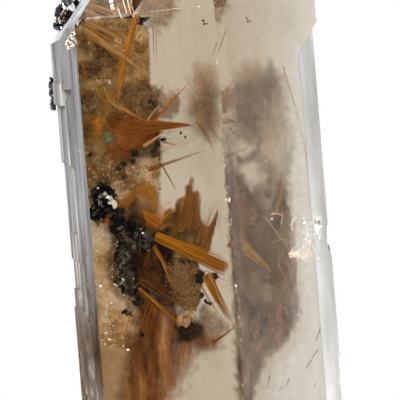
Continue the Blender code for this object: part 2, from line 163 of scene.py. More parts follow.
# Limits and sizes of the mesh work
OPENING_SIZE = 400.0
WELD = 0.0002
FLAT_ANGLE = 0.05
EDGE_WEAR = 0.10
SHARP_ANGLE = 28.0
GOLDEN_ANGLE = math.pi * (3.0 - math.sqrt(5.0))
LUMP_CORNERS = 18
RIPPLE_LIMIT = 6.0
FACE_AGREE = 0.97
VEIL_ROUGHNESS = 0.7
FILM_ROUGHNESS = 0.5
PLATE_THICK = 0.16
CAMERA_SIDE = Vector((0.0, -1.0, 0.0))

# Where the left film turns into its darker foot, in metres, and how far that border wavers
FOOT_HEIGHTS = (0.038, 0.054)
FOOT_WAVER = 0.012


# Crystal body, in millimetres


def radial(turn):
    angle = math.radians(turn)
    return Vector((-math.sin(angle), -math.cos(angle), 0.0))


def face_plane(name, step=0.0):
    turn, distance, _ = PRISM[name]
    outward = radial(turn)
    return outward, outward * (distance + step)


def end_plane(name, step=0.0):
    turn, distance, shoulder = PRISM[name]
    slope = math.radians(END_SLOPE)
    outward = radial(turn) * math.cos(slope) + Vector((0.0, 0.0, math.sin(slope)))
    point = radial(turn) * distance + Vector((0.0, 0.0, shoulder))
    return outward, point + outward * step


def level(height, upper, fall=0.0):
    outward = Vector((0.0, -fall, 1.0)).normalized()
    return (outward if upper else -outward), Vector((0.0, 0.0, height))


def add_object(name, data):
    thing = bpy.data.objects.new(name, data)
    bpy.context.scene.collection.objects.link(thing)
    return thing


def link_mesh(name, bm):
    bmesh.ops.recalc_face_normals(bm, faces=bm.faces)
    mesh = bpy.data.meshes.new(name)
    bm.to_mesh(mesh)
    bm.free()
    return add_object(name, mesh)


def hull_of(points):
    bm = bmesh.new()
    for point in points:
        bm.verts.new(point)
    bmesh.ops.remove_doubles(bm, verts=bm.verts, dist=WELD)
    hull = bmesh.ops.convex_hull(bm, input=bm.verts)
    spare = [item for item in hull["geom_interior"] if isinstance(item, bmesh.types.BMVert)]
    bmesh.ops.delete(bm, geom=spare, context="VERTS")
    bmesh.ops.dissolve_limit(bm, angle_limit=math.radians(FLAT_ANGLE), verts=bm.verts, edges=bm.edges)
    return bm


def convex_body(name, planes):
    reach = 0.5 * OPENING_SIZE
    signs = (-1.0, 1.0)
    points = [Vector((x, y, z)) * reach for x in signs for y in signs for z in signs]
    for outward, point in planes:
        bm = hull_of(points)
        bmesh.ops.bisect_plane(
            bm,
            geom=bm.verts[:] + bm.edges[:] + bm.faces[:],
            plane_co=point,
            plane_no=outward,
            clear_outer=True
        )
        points = [v.co.copy() for v in bm.verts]
        bm.free()
    return link_mesh(name, hull_of(points))


def combine(thing, others, operation):
    group = bpy.data.collections.new("others")
    for other in others:
        group.objects.link(other)
    modifier = thing.modifiers.new("combine", "BOOLEAN")
    modifier.operation = operation
    modifier.solver = "EXACT"
    modifier.operand_type = "COLLECTION"
    modifier.collection = group
    bpy.context.view_layer.update()
    shape = thing.evaluated_get(bpy.context.evaluated_depsgraph_get())
    mesh = bpy.data.meshes.new_from_object(shape)
    thing.modifiers.remove(modifier)
    thing.data = mesh
    for other in others:
        bpy.data.objects.remove(other, do_unlink=True)
    bpy.data.collections.remove(group)


def lump(name, centre, radii, seed):
    # Rough closed body of about that size
    rng = random.Random(seed)
    spin = rng.random() * math.tau
    points = []
    for i in range(LUMP_CORNERS):
        height = 1.0 - 2.0 * (i + 0.5) / LUMP_CORNERS
        around = spin + i * GOLDEN_ANGLE + rng.uniform(-0.25, 0.25)
        ring = math.sqrt(1.0 - height * height)
        direction = Vector((ring * math.cos(around), ring * math.sin(around), height))
        reach = rng.uniform(0.92, 1.14)
        points.append(Vector(centre) + Vector([direction[k] * radii[k] * reach for k in range(3)]))
    return link_mesh(name, hull_of(points))


def soften(thing):
    # Narrow worn edges, which carry the light lines
    modifier = thing.modifiers.new("worn", "BEVEL")
    modifier.width = EDGE_WEAR
    modifier.segments = 2
    modifier.limit_method = "ANGLE"
    modifier.angle_limit = math.radians(SHARP_ANGLE)
    bpy.context.view_layer.update()
    shape = thing.evaluated_get(bpy.context.evaluated_depsgraph_get())
    mesh = bpy.data.meshes.new_from_object(shape)
    thing.modifiers.remove(modifier)
    thing.data = mesh


def crystal_body():
    names = list(PRISM)
    sides = [face_plane(name) for name in names]
    ends = [end_plane(name) for name in names]
    trunk = convex_body("quartz_clear", sides + ends + [level(0.0, upper=False)])

    planes = [face_plane(name, -LEDGE_INSET) for name in names]
    planes += [end_plane(name, MAIN_STEP if name == "main" else -LEDGE_INSET) for name in names]
    step_side = Vector((-1.0, 0.0, MAIN_STEP_LEAN)).normalized()
    planes.append((step_side, Vector((MAIN_STEP_X, 0.0, MAIN_STEP_HEIGHT))))
    planes.append(level(MAIN_STEP_FLOOR, upper=False))
    ledges = [convex_body("step", planes)]

    for number, (step, low, high, near, far) in enumerate(LEFT_LEDGES, 1):
        inset = LEDGE_INSET + number * LEDGE_INSET_GROWTH
        planes = [face_plane(name, -inset) for name in names if name != "left"]
        planes += [end_plane(name, LEDGE_INSET if name == "left" else -inset) for name in names]
        planes.append(face_plane("left", step))
        inward, back_point = face_plane("left", -LEDGE_ROOT * number)
        planes.append((-inward, back_point))
        planes.append(level(low, False, LEDGE_FALL))
        planes.append(level(high, True, LEDGE_FALL))
        planes.append((Vector((0.0, -1.0, 0.0)), Vector((0.0, near, 0.0))))
        planes.append((Vector((0.0, 1.0, 0.0)), Vector((0.0, far, 0.0))))
        ledges.append(convex_body("ledge", planes))

    for number, (name, step, low, high, lean) in enumerate(BACK_LEDGES, 1):
        inset = BACK_LEDGE_INSET + number * LEDGE_INSET_GROWTH
        planes = [face_plane(other, -inset) for other in names if other != name]
        planes.append(face_plane(name, step))
        inward, back_point = face_plane(name, -LEDGE_ROOT * number)
        planes.append((-inward, back_point))
        planes.append(level(low, False, lean))
        planes.append(level(high, True, -lean))
        ledges.append(convex_body("ledge", planes))
    combine(trunk, ledges, "UNION")

    outward = radial(BEVEL_TURN)
    lean = math.radians(BEVEL_TOP_LEAN)
    keep_from = (-outward, outward * BEVEL_DISTANCE)
    bevel_top = (Vector((math.sin(lean), 0.0, math.cos(lean))), Vector((BEVEL_TOP_X, 0.0, BEVEL_TOP)))
    cuts = [convex_body("bevel", [keep_from, bevel_top])]
    cuts += [lump("chip", centre, radii, seed) for centre, radii, seed in CHIPS]
    combine(trunk, cuts, "DIFFERENCE")
    soften(trunk)
    trunk.data.transform(Matrix.Scale(MM, 4) @ Matrix.Translation(SHIFT))
    return trunk


# Where a pixel of the photograph looks, on the crystal and once it has passed into it


def pixel_ray(x, y):
    across = x - MIDDLE_PIXEL
    up = MIDDLE_PIXEL - y
    c, s = math.cos(ROLL), math.sin(ROLL)
    direction = Vector((0.0, CAMERA_DISTANCE, 0.0))
    direction.x = (across * c + up * s) * MM_PER_PIXEL
    direction.z = (-across * s + up * c) * MM_PER_PIXEL
    return Vector((AIM_X, -CAMERA_DISTANCE, AIM_Z)), direction.normalized()


def bend(direction, outward):
    ratio = 1.0 / QUARTZ_IOR
    cosine = -direction.dot(outward)
    root = 1.0 - ratio * ratio * (1.0 - cosine * cosine)
    return direction * ratio + outward * (ratio * cosine - math.sqrt(root))


def on_plane(plane, x, y, lift=0.0):
    # The point of the plane which the pixel shows, lifted off it
    origin, direction = pixel_ray(x, y)
    outward, point = plane
    return origin + direction * ((point - origin).dot(outward) / direction.dot(outward)) + outward * lift


def surface(face, x, y):
    # The point of that prism face which the pixel shows
    return on_plane(face_plane(face), x, y)


def inside(face, x, y, depth):
    # The point at that depth (the frame's y) which the pixel shows through the face
    _, direction = pixel_ray(x, y)
    start = surface(face, x, y)
    inner = bend(direction, face_plane(face)[0])
    return start + inner * ((depth - start.y) / inner.y)


def under(face, x, y, depth):
    # The point that far below the face along the pixel's ray
    _, direction = pixel_ray(x, y)
    return surface(face, x, y) + bend(direction, face_plane(face)[0]) * depth


def main_face(depth):
    # Places a pixel through the main face, at that depth
    return lambda x, y: inside("main", x, y, depth)


def right_face(depth):
    # Places a pixel that far below the right face
    return lambda x, y: under("right", x, y, depth)


def back_of_left(gap, deepest=2.4):
    # Just in front of the hidden back left face, through the main face, and no deeper than the given depth
    outward, point = face_plane("back_left", -gap)

    def place(x, y):
        _, direction = pixel_ray(x, y)
        start = surface("main", x, y)
        inner = bend(direction, face_plane("main")[0])
        reach = min((point - start).dot(outward) / inner.dot(outward), (deepest - start.y) / inner.y)
        return start + inner * reach

    return place


def left_of_bevel(x, y):
    # Ends the sheet just past the bevel's border, where it is still inside the crystal
    return x < BEVEL_PIXEL_X + BEVEL_PIXEL_LEAN * (y - BEVEL_PIXEL_Y)


def chip_floor(x, y, chips):
    # The point which the pixel shows on the floor of the chips broken out of the corner
    origin, direction = pixel_ray(x, y)
    deepest = None
    for centre, radii, _ in chips:
        start = Vector([(origin[k] - centre[k]) / radii[k] for k in range(3)])
        way = Vector([direction[k] / radii[k] for k in range(3)])
        half = start.dot(way) / way.dot(way)
        root = half * half - (start.dot(start) - 1.0) / way.dot(way)
        if root > 0.0:
            reach = math.sqrt(root) - half
            deepest = reach if deepest is None else max(deepest, reach)
    return None if deepest is None else origin + direction * deepest


def on_lump(x, y, front):
    # The point which the pixel shows on the black lump, whose front there is at that y
    return on_plane((CAMERA_SIDE, Vector((0.0, front, 0.0))), x, y)


# Node helpers


def new_material(name):
    material = bpy.data.materials.new(name)
    material.use_nodes = True
    nodes = material.node_tree.nodes
    return material, nodes, material.node_tree.links, nodes["Principled BSDF"]


def noise_node(nodes, links, scale, detail=4.0, roughness=0.6, stretch=None, turn=None):
    coords = nodes.new("ShaderNodeTexCoord")
    mapping = nodes.new("ShaderNodeMapping")
    if stretch:
        mapping.inputs["Scale"].default_value = stretch
    if turn:
        mapping.inputs["Rotation"].default_value = turn
    noise = nodes.new("ShaderNodeTexNoise")
    noise.inputs["Scale"].default_value = scale
    noise.inputs["Detail"].default_value = detail
    noise.inputs["Roughness"].default_value = roughness
    links.new(coords.outputs["Object"], mapping.inputs["Vector"])
    links.new(mapping.outputs["Vector"], noise.inputs["Vector"])
    return noise


def ramp_node(nodes, links, source, stops):
    ramp = nodes.new("ShaderNodeValToRGB")
    ramp.color_ramp.elements[0].position = stops[0][0]
    ramp.color_ramp.elements[0].color = (*stops[0][1], 1.0)
    ramp.color_ramp.elements[1].position = stops[-1][0]
    ramp.color_ramp.elements[1].color = (*stops[-1][1], 1.0)
    for place, tint in stops[1:-1]:
        element = ramp.color_ramp.elements.new(place)
        element.color = (*tint, 1.0)
    links.new(source, ramp.inputs["Fac"])
    return ramp


def map_range(nodes, links, source, low, high, to_low, to_high):
    node = nodes.new("ShaderNodeMapRange")
    node.inputs["From Min"].default_value = low
    node.inputs["From Max"].default_value = high
    node.inputs["To Min"].default_value = to_low
    node.inputs["To Max"].default_value = to_high
    links.new(source, node.inputs["Value"])
    return node


def math_node(nodes, links, operation, *values):
    # Each value is a number or the output of another node
    node = nodes.new("ShaderNodeMath")
    node.operation = operation
    for socket, value in zip(node.inputs, values):
        if isinstance(value, float):
            socket.default_value = value
        else:
            links.new(value, socket)
    return node


def colour_mix(nodes, links, share, first, second):
    # The first colour turns into the second, which is a constant or an output
    node = nodes.new("ShaderNodeMix")
    node.data_type = "RGBA"
    links.new(share, node.inputs[0])
    links.new(first, node.inputs[6])
    if isinstance(second, tuple):
        node.inputs[7].default_value = second
    else:
        links.new(second, node.inputs[7])
    return node.outputs[2]


def bump_node(nodes, links, height, strength, distance):
    bump = nodes.new("ShaderNodeBump")
    bump.inputs["Strength"].default_value = strength
    bump.inputs["Distance"].default_value = distance
    links.new(height, bump.inputs["Height"])
    return bump


# Kinds of material


def quartz_material():
    material, nodes, links, shader = new_material("smoky_quartz")
    shader.inputs["Base Color"].default_value = (1.0, 1.0, 1.0, 1.0)
    shader.inputs["Transmission Weight"].default_value = 1.0
    shader.inputs["IOR"].default_value = QUARTZ_IOR
    shader.inputs["Roughness"].default_value = QUARTZ_ROUGHNESS
    absorb = nodes.new("ShaderNodeVolumeAbsorption")
    absorb.inputs["Color"].default_value = SMOKE_TINT
    absorb.inputs["Density"].default_value = SMOKE_DENSITY
    links.new(absorb.outputs["Volume"], nodes["Material Output"].inputs["Volume"])
    return material


def needle_material(name, stops, roughness=0.35, painted_glow=0.0):
    # Each needle or grain has its own tone between the stops
    material, nodes, links, shader = new_material(name)
    geometry = nodes.new("ShaderNodeNewGeometry")
    noise = noise_node(nodes, links, 900.0, 3.0)
    offset = map_range(nodes, links, geometry.outputs["Random Per Island"], 0.0, 1.0, -0.12, 0.62)
    tone = math_node(nodes, links, "MULTIPLY_ADD", noise.outputs["Fac"], 0.45, offset.outputs["Result"])
    ramp = ramp_node(nodes, links, tone.outputs["Value"], stops)
    links.new(ramp.outputs["Color"], shader.inputs["Base Color"])
    rough = map_range(nodes, links, noise.outputs["Fac"], 0.3, 0.7, roughness - 0.1, roughness + 0.15)
    links.new(rough.outputs["Result"], shader.inputs["Roughness"])
    shader.inputs["Specular IOR Level"].default_value = 0.15
    # A glow is painted light: the tone itself shines as emission, though the needle is no lamp
    if painted_glow:
        links.new(ramp.outputs["Color"], shader.inputs["Emission Color"])
        shader.inputs["Emission Strength"].default_value = painted_glow
    return material


def sparkle_material(name, stops, roughness=0.2):
    # Painted highlights: the tone shines as emission, so each piece glints as if it caught a lamp
    material, nodes, links, shader = new_material(name)
    geometry = nodes.new("ShaderNodeNewGeometry")
    ramp = ramp_node(nodes, links, geometry.outputs["Random Per Island"], stops)
    links.new(ramp.outputs["Color"], shader.inputs["Base Color"])
    links.new(ramp.outputs["Color"], shader.inputs["Emission Color"])
    shader.inputs["Emission Strength"].default_value = 0.35
    shader.inputs["Metallic"].default_value = 0.85
    shader.inputs["Roughness"].default_value = roughness
    return material


def hematite_material():
    material, nodes, links, shader = new_material("hematite")
    geometry = nodes.new("ShaderNodeNewGeometry")
    ramp = ramp_node(
        nodes,
        links,
        geometry.outputs["Random Per Island"],
        [
            (0.0, (0.015, 0.017, 0.020)), (0.80, (0.045, 0.050, 0.055)), (0.90, (0.16, 0.17, 0.17)),
            (0.97, (0.9, 0.92, 0.9)),
        ],
    )
    noise = noise_node(nodes, links, 2500.0, 3.0)
    rough = map_range(nodes, links, noise.outputs["Fac"], 0.3, 0.7, 0.12, 0.40)
    links.new(ramp.outputs["Color"], shader.inputs["Base Color"])
    links.new(rough.outputs["Result"], shader.inputs["Roughness"])
    shader.inputs["Metallic"].default_value = 0.9
    return material


def veil_material(
    name, stops, scale, cover, contrast, stretch=None, turn=None, top=1.0, grain=0.45, painted_glow=0.0,
):
    # Mottled colour, and a cover that thins out with the noise and towards the sheet's edge
    material, nodes, links, shader = new_material(name)
    broad = noise_node(nodes, links, scale, 6.0, 0.6, stretch, turn)
    fine = noise_node(nodes, links, scale * 11.0, 4.0, 0.7, stretch, turn)
    less = math_node(nodes, links, "MULTIPLY", broad.outputs["Fac"], 1.0 - grain)
    tone = math_node(nodes, links, "MULTIPLY_ADD", fine.outputs["Fac"], grain, less.outputs["Value"])
    ramp = ramp_node(nodes, links, tone.outputs["Value"], stops)
    links.new(ramp.outputs["Color"], shader.inputs["Base Color"])
    shader.inputs["Roughness"].default_value = VEIL_ROUGHNESS
    shader.inputs["Specular IOR Level"].default_value = 0.15
    # A glow is painted light: the sheet's own colour shines as emission, lifting it above what the lamps give
    if painted_glow:
        links.new(ramp.outputs["Color"], shader.inputs["Emission Color"])
        shader.inputs["Emission Strength"].default_value = painted_glow
    patch = noise_node(nodes, links, scale * 0.6, 8.0, 0.7, stretch, turn)
    amount = map_range(
        nodes, links, patch.outputs["Fac"], 0.5 - 0.5 / contrast, 0.5 + 0.5 / contrast, 0.0, 1.0,
    )
    fade = nodes.new("ShaderNodeAttribute")
    fade.attribute_name = "fade"
    lift = math_node(nodes, links, "ADD", amount.outputs["Result"], cover)
    lift.use_clamp = True
    alpha = math_node(nodes, links, "MULTIPLY", lift.outputs["Value"], fade.outputs["Fac"])
    limit = math_node(nodes, links, "MULTIPLY", alpha.outputs["Value"], top)
    links.new(limit.outputs["Value"], shader.inputs["Alpha"])
    return material


def film_material(name, stops, scale, stretch, low, high, gloss=0.5, foot=None):
    # Frost whose colours turn, below a height, into those of its foot
    material, nodes, links, shader = new_material(name)
    tone = noise_node(nodes, links, scale, 6.0, 0.6, stretch)
    ramp = ramp_node(nodes, links, tone.outputs["Fac"], stops)
    tint = ramp.outputs["Color"]
    if foot:
        coords = nodes.new("ShaderNodeTexCoord")
        split = nodes.new("ShaderNodeSeparateXYZ")
        links.new(coords.outputs["Object"], split.inputs["Vector"])
        waver = math_node(nodes, links, "MULTIPLY_ADD", tone.outputs["Fac"], FOOT_WAVER, split.outputs["Z"])
        share = map_range(nodes, links, waver.outputs["Value"], *FOOT_HEIGHTS, 1.0, 0.0)
        patches = noise_node(nodes, links, scale, 7.0, 0.7, (1.0, 0.9, 0.35), (0.75, 0.0, 0.0))
        under_ramp = ramp_node(nodes, links, patches.outputs["Fac"], foot)
        tint = colour_mix(nodes, links, share.outputs["Result"], tint, under_ramp.outputs["Color"])
    links.new(tint, shader.inputs["Base Color"])
    patch = noise_node(nodes, links, scale * 0.7, 6.0, 0.6, stretch)
    cover = map_range(nodes, links, patch.outputs["Fac"], 0.35, 0.65, low, high)
    links.new(cover.outputs["Result"], shader.inputs["Alpha"])
    shader.inputs["Roughness"].default_value = FILM_ROUGHNESS
    shader.inputs["Specular IOR Level"].default_value = gloss
    bump = bump_node(nodes, links, tone.outputs["Fac"], 0.3, 0.0002)
    links.new(bump.outputs["Normal"], shader.inputs["Normal"])
    return material


# Mesh batches


class Batch:
    def __init__(self):
        self.verts = []
        self.faces = []

    def needle(self, line, start, end, sides=3, flat=1.0, spin=0.0):
        points = [Vector(p) for p in line]
        first = len(self.verts)
        count = len(points)
        for i, point in enumerate(points):
            along = (points[min(i + 1, count - 1)] - points[max(i - 1, 0)]).normalized()
            aside = Vector((0.0, 1.0, 0.0)) if abs(along.y) < 0.9 else Vector((1.0, 0.0, 0.0))
            across = along.cross(aside).normalized()
            through = along.cross(across)
            radius = start + (end - start) * i / (count - 1)
            for k in range(sides):
                angle = spin + math.tau * k / sides
                self.verts.append(
                    point + across * (math.cos(angle) * radius) + through * (math.sin(angle) * radius * flat)
                )
        for i in range(count - 1):
            low = first + i * sides
            for k in range(sides):
                n = (k + 1) % sides
                self.faces.append((low + k, low + n, low + sides + n, low + sides + k))
        self.faces.append(tuple(first + k for k in reversed(range(sides))))
        self.faces.append(tuple(first + (count - 1) * sides + k for k in range(sides)))

    def grain(self, centre, size, rng):
        # Irregular double pyramid
        first = len(self.verts)
        spin = rng.random() * math.tau
        axis = Vector((rng.gauss(0, 1), rng.gauss(0, 1), rng.gauss(0, 1))).normalized()
        across = axis.orthogonal().normalized()
        through = axis.cross(across)
        for k in range(3):
            angle = spin + math.tau * k / 3 + rng.uniform(-0.4, 0.4)
            reach = size * rng.uniform(0.7, 1.3)
            self.verts.append(centre + (across * math.cos(angle) + through * math.sin(angle)) * reach)
        self.verts.append(centre + axis * size * rng.uniform(0.5, 1.4))
        self.verts.append(centre - axis * size * rng.uniform(0.5, 1.4))
        for k in range(3):
            n = (k + 1) % 3
            self.faces.append((first + k, first + n, first + 3))
            self.faces.append((first + n, first + k, first + 4))

    def plate(self, centre, facing, radius, thickness, rng, sides=6):
        first = len(self.verts)
        facing = facing.normalized()
        across = facing.orthogonal().normalized()
        through = facing.cross(across)
        spin = rng.random() * math.tau
        rim = []
        for k in range(sides):
            angle = spin + math.tau * k / sides + rng.uniform(-0.3, 0.3)
            rim.append(
                (across * math.cos(angle) + through * math.sin(angle)) * radius * rng.uniform(0.6, 1.15)
            )
        for side in (0.5, -0.5):
            for offset in rim:
                self.verts.append(centre + offset * (1.0 if side > 0 else 0.8) + facing * thickness * side)
        self.faces.append(tuple(first + k for k in range(sides)))
        self.faces.append(tuple(first + sides + k for k in reversed(range(sides))))
        for k in range(sides):
            n = (k + 1) % sides
            self.faces.append((first + n, first + k, first + sides + k, first + sides + n))

    def build(self, name, material):
        mesh = bpy.data.meshes.new(name)
        mesh.from_pydata([(v + SHIFT) * MM for v in self.verts], [], self.faces)
        mesh.materials.append(material)
        bm = bmesh.new()
        bm.from_mesh(mesh)
        bmesh.ops.recalc_face_normals(bm, faces=bm.faces)
        bm.to_mesh(mesh)
        bm.free()
        thing = add_object(name, mesh)
        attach(thing, "root")
        return thing


def scatter(rng, spread):
    return Vector((rng.gauss(0, 1) * spread[0], rng.gauss(0, 1) * spread[1], rng.gauss(0, 1) * spread[2]))


def bundle(batch, rng, line, count, root_spread, tip_spread, thick):
    # Fine needles side by side along a line of two or more points
    points = [Vector(p) for p in line]
    for _ in range(count):
        share = rng.uniform(0.55, 1.0)
        begin = rng.uniform(0.0, 0.25) * (1.0 - share) * 2.0
        root = scatter(rng, root_spread)
        tip = scatter(rng, tip_spread)
        path = []
        steps = max(2, len(points))
        for i in range(steps):
            t = begin + (share - begin) * i / (steps - 1)
            place = t * (len(points) - 1)
            k = min(int(place), len(points) - 2)
            path.append(points[k].lerp(points[k + 1], place - k) + root.lerp(tip, t))
        size = thick * rng.uniform(0.6, 1.5)
        batch.needle(path, size, size * 0.25, 3, rng.uniform(0.5, 1.0), rng.random() * math.tau)


def stroke(batch, rng, face, line, count, root, tip, thick, deep=0.5, shortest=0.55, thin=0.3):
    # Needles along a line of (x, y, depth), with the spread at each end in pixels
    points = [inside(face, *p) for p in line]
    along = (points[-1] - points[0]).normalized()
    across = along.cross(Vector((0.0, 1.0, 0.0))).normalized()
    for _ in range(count):
        share = rng.uniform(shortest, 1.0)
        begin = rng.uniform(0.0, 0.3) * (1.0 - share)
        side = rng.triangular(-0.62, 0.62)
        near = across * side * root * MM_PER_PIXEL + Vector((0.0, rng.gauss(0, 0.5) * deep, 0.0))
        far = across * (side + rng.gauss(0.0, 0.08)) * tip * MM_PER_PIXEL
        far.y += rng.gauss(0, 0.4) * deep * max(0.25, tip / max(root, 1.0))
        path = []
        steps = max(2, len(points))
        for i in range(steps):
            t = begin + (share - begin) * i / (steps - 1)
            spot = t * (len(points) - 1)
            k = min(int(spot), len(points) - 2)
            path.append(points[k].lerp(points[k + 1], spot - k) + near.lerp(far, t))
        size = thick * rng.uniform(0.6, 1.5)
        batch.needle(path, size, size * thin, 3, rng.uniform(0.5, 1.0), rng.random() * math.tau)


def strokes(batch, rng, rows):
    # One stroke under the main face for each row: line, count, root, tip, thickness, depth (and shortest)
    for row in rows:
        stroke(batch, rng, "main", *row)


def inside_edge(outline, x, y):
    # Distance in pixels from the point to the outline, negative outside it
    hit = False
    nearest = 1e9
    count = len(outline)
    for i in range(count):
        ax, ay = outline[i]
        bx, by = outline[(i + 1) % count]
        if (ay > y) != (by > y) and x < (bx - ax) * (y - ay) / (by - ay) + ax:
            hit = not hit
        dx, dy = bx - ax, by - ay
        t = max(0.0, min(1.0, ((x - ax) * dx + (y - ay) * dy) / (dx * dx + dy * dy)))
        nearest = min(nearest, math.hypot(x - ax - t * dx, y - ay - t * dy))
    return nearest if hit else -nearest


def dust(batch, rng, place, outline, count, low, high, thick):
    # Grains strewn inside the outline, through the given thickness
    xs = [p[0] for p in outline]
    ys = [p[1] for p in outline]
    made = 0
    while made < count:
        x, y = rng.uniform(min(xs), max(xs)), rng.uniform(min(ys), max(ys))
        if inside_edge(outline, x, y) < 0.0:
            continue
        if fractal.noise(Vector((x * 0.07, y * 0.07, 4.0))) < rng.uniform(-0.6, 0.25):
            continue
        point = place(x, y)
        point.y += rng.uniform(-thick, thick)
        batch.grain(point, rng.uniform(low, high), rng)
        made += 1


def plates(batch, rng, centre, radii, count, size):
    # Thin plates crowded into a lump
    for _ in range(count):
        way = Vector((rng.gauss(0, 1), rng.gauss(0, 1), rng.gauss(0, 1))).normalized()
        reach = rng.uniform(0.45, 0.95)
        place = Vector(centre) + Vector([way[k] * radii[k] * reach for k in range(3)])
        facing = way + Vector((rng.gauss(0, 0.5), rng.gauss(0, 0.5), rng.gauss(0, 0.5))) + CAMERA_SIDE * 0.2
        batch.plate(place, facing, size * rng.uniform(0.45, 1.2), PLATE_THICK * rng.uniform(0.6, 1.5), rng)


def knob(batch, rng, place, radius, count=9):
    # Small dark lump of a few grains
    for _ in range(count):
        batch.grain(place + scatter(rng, (radius * 0.45, radius * 0.45, radius * 0.45)), radius * 0.75, rng)


def arc(batch, points, depth, radius):
    # Bright or dark line that far below the right face, through the pixels
    line = [under("right", x, y, depth) for x, y in points]
    batch.needle(line, radius, radius * 0.5, 4)


def scratch(batch, plane, points, radius=0.035):
    # Thin raised line on the plane, through the points that the pixels show
    batch.needle([on_plane(plane, x, y, 0.04) for x, y in points], radius, radius * 0.6, 4)


# Sheets and films


def veil(name, place, outline, material, soft, step, wobble, seed, holes=(), keep=None):
    # Thin uneven sheet inside the outline, whose attribute "fade" falls to 0 at its edge
    xs = [p[0] for p in outline]
    ys = [p[1] for p in outline]
    columns = int((max(xs) - min(xs)) / step) + 2
    rows = int((max(ys) - min(ys)) / step) + 2
    verts, fades = [], []
    for j in range(rows):
        for i in range(columns):
            x, y = min(xs) + i * step, min(ys) + j * step
            waver = fractal.noise(Vector((x * 0.045, y * 0.045, seed * 7.3)))
            ripple = fractal.noise(Vector((x * 0.16, y * 0.16, seed * 3.1)))
            edge = inside_edge(outline, x, y)
            for hole in holes:
                edge = min(edge, soft * 0.6 - inside_edge(hole, x, y))
            edge += ripple * min(0.8 * soft, RIPPLE_LIMIT)
            fades.append(max(0.0, min(1.0, edge / soft)))
            point = place(x, y)
            point.y += (waver + 0.3 * ripple) * wobble
            verts.append((point + SHIFT) * MM)
    faces = []
    for j in range(rows - 1):
        for i in range(columns - 1):
            corners = (j * columns + i, j * columns + i + 1, (j + 1) * columns + i + 1, (j + 1) * columns + i)
            x, y = min(xs) + (i + 0.5) * step, min(ys) + (j + 0.5) * step
            if max(fades[k] for k in corners) > 0.0 and (keep is None or keep(x, y)):
                faces.append(corners)
    used = sorted({k for face in faces for k in face})
    order = {k: n for n, k in enumerate(used)}
    mesh = bpy.data.meshes.new(name)
    mesh.from_pydata([verts[k] for k in used], [], [tuple(order[k] for k in face) for face in faces])
    fade = mesh.attributes.new("fade", "FLOAT_COLOR", "POINT")
    for n, k in enumerate(used):
        fade.data[n].color = (fades[k], fades[k], fades[k], 1.0)
    mesh.polygons.foreach_set("use_smooth", [True] * len(mesh.polygons))
    mesh.materials.append(material)
    thing = add_object(name, mesh)
    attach(thing, "root")
    return thing


def skin(name, body, outward, lift, material, rightmost=200.0):
    # Thin frosted film over the faces of the crystal that point one way
    source = bmesh.new()
    source.from_mesh(body.data)
    spare = []
    for face in source.faces:
        middle = face.calc_center_median() / MM
        if face.normal.dot(outward) < FACE_AGREE or middle.x > rightmost:
            spare.append(face)
    bmesh.ops.delete(source, geom=spare, context="FACES")
    for vert in source.verts:
        vert.co += outward * lift * MM
    mesh = bpy.data.meshes.new(name)
    source.to_mesh(mesh)
    source.free()
    mesh.materials.clear()
    mesh.materials.append(material)
    thing = add_object(name, mesh)
    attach(thing, "root")
    return thing


# Camera, studio and floor


def add_camera():
    data = bpy.data.cameras.new("camera")
    data.sensor_width = SENSOR
    data.lens = SENSOR * CAMERA_DISTANCE / (2 * MIDDLE_PIXEL * MM_PER_PIXEL)
    data.clip_start = 0.01
    data.clip_end = 20.0
    camera = add_object("camera", data)
    c, s = math.cos(ROLL), math.sin(ROLL)
    right, up, back = Vector((c, 0.0, -s)), Vector((s, 0.0, c)), Vector((0.0, -1.0, 0.0))
    place = (Vector((AIM_X, -CAMERA_DISTANCE, AIM_Z)) + SHIFT) * MM
    turn = Matrix((right, up, back)).transposed().to_4x4()
    camera.matrix_world = Matrix.Translation(place) @ turn
    bpy.context.scene.camera = camera


def area_light(name, place, aim, size, watts):
    data = bpy.data.lights.new(name, "AREA")
    data.shape = "RECTANGLE"
    data.size, data.size_y = size
    data.energy = watts
    light = add_object(name, data)
    light.location = place
    light.rotation_euler = (Vector(aim) - Vector(place)).to_track_quat("-Z", "Y").to_euler()


def add_lights():
    for light in LIGHTS:
        area_light(*light)


def add_world():
    # Bright all round, with a dark card where each front face would mirror the room towards the camera
    world = bpy.data.worlds.new("studio")
    bpy.context.scene.world = world
    world.use_nodes = True
    nodes, links = world.node_tree.nodes, world.node_tree.links
    background = nodes["Background"]
    coords = nodes.new("ShaderNodeTexCoord")
    split = nodes.new("ShaderNodeSeparateXYZ")
    links.new(coords.outputs["Generated"], split.inputs["Vector"])
    shade = map_range(nodes, links, split.outputs["Y"], -0.6, 0.5, 0.0, 1.0)
    ramp = ramp_node(nodes, links, shade.outputs["Result"], WORLD_STOPS)
    tint = ramp.outputs["Color"]
    for direction, narrow, wide, depth in CARDS:
        dot = nodes.new("ShaderNodeVectorMath")
        dot.operation = "DOT_PRODUCT"
        dot.inputs[1].default_value = direction
        links.new(coords.outputs["Generated"], dot.inputs[0])
        cover = map_range(nodes, links, dot.outputs["Value"], narrow, wide, 0.0, depth)
        tint = colour_mix(nodes, links, cover.outputs["Result"], tint, CARD_TINT)
    links.new(tint, background.inputs["Color"])
    background.inputs["Strength"].default_value = WORLD_STRENGTH
    plain = nodes.new("ShaderNodeBackground")
    plain.inputs["Color"].default_value = (1.0, 1.0, 1.0, 1.0)
    path = nodes.new("ShaderNodeLightPath")
    mix = nodes.new("ShaderNodeMixShader")
    links.new(path.outputs["Is Camera Ray"], mix.inputs[0])
    links.new(background.outputs[0], mix.inputs[1])
    links.new(plain.outputs[0], mix.inputs[2])
    links.new(mix.outputs[0], nodes["World Output"].inputs["Surface"])


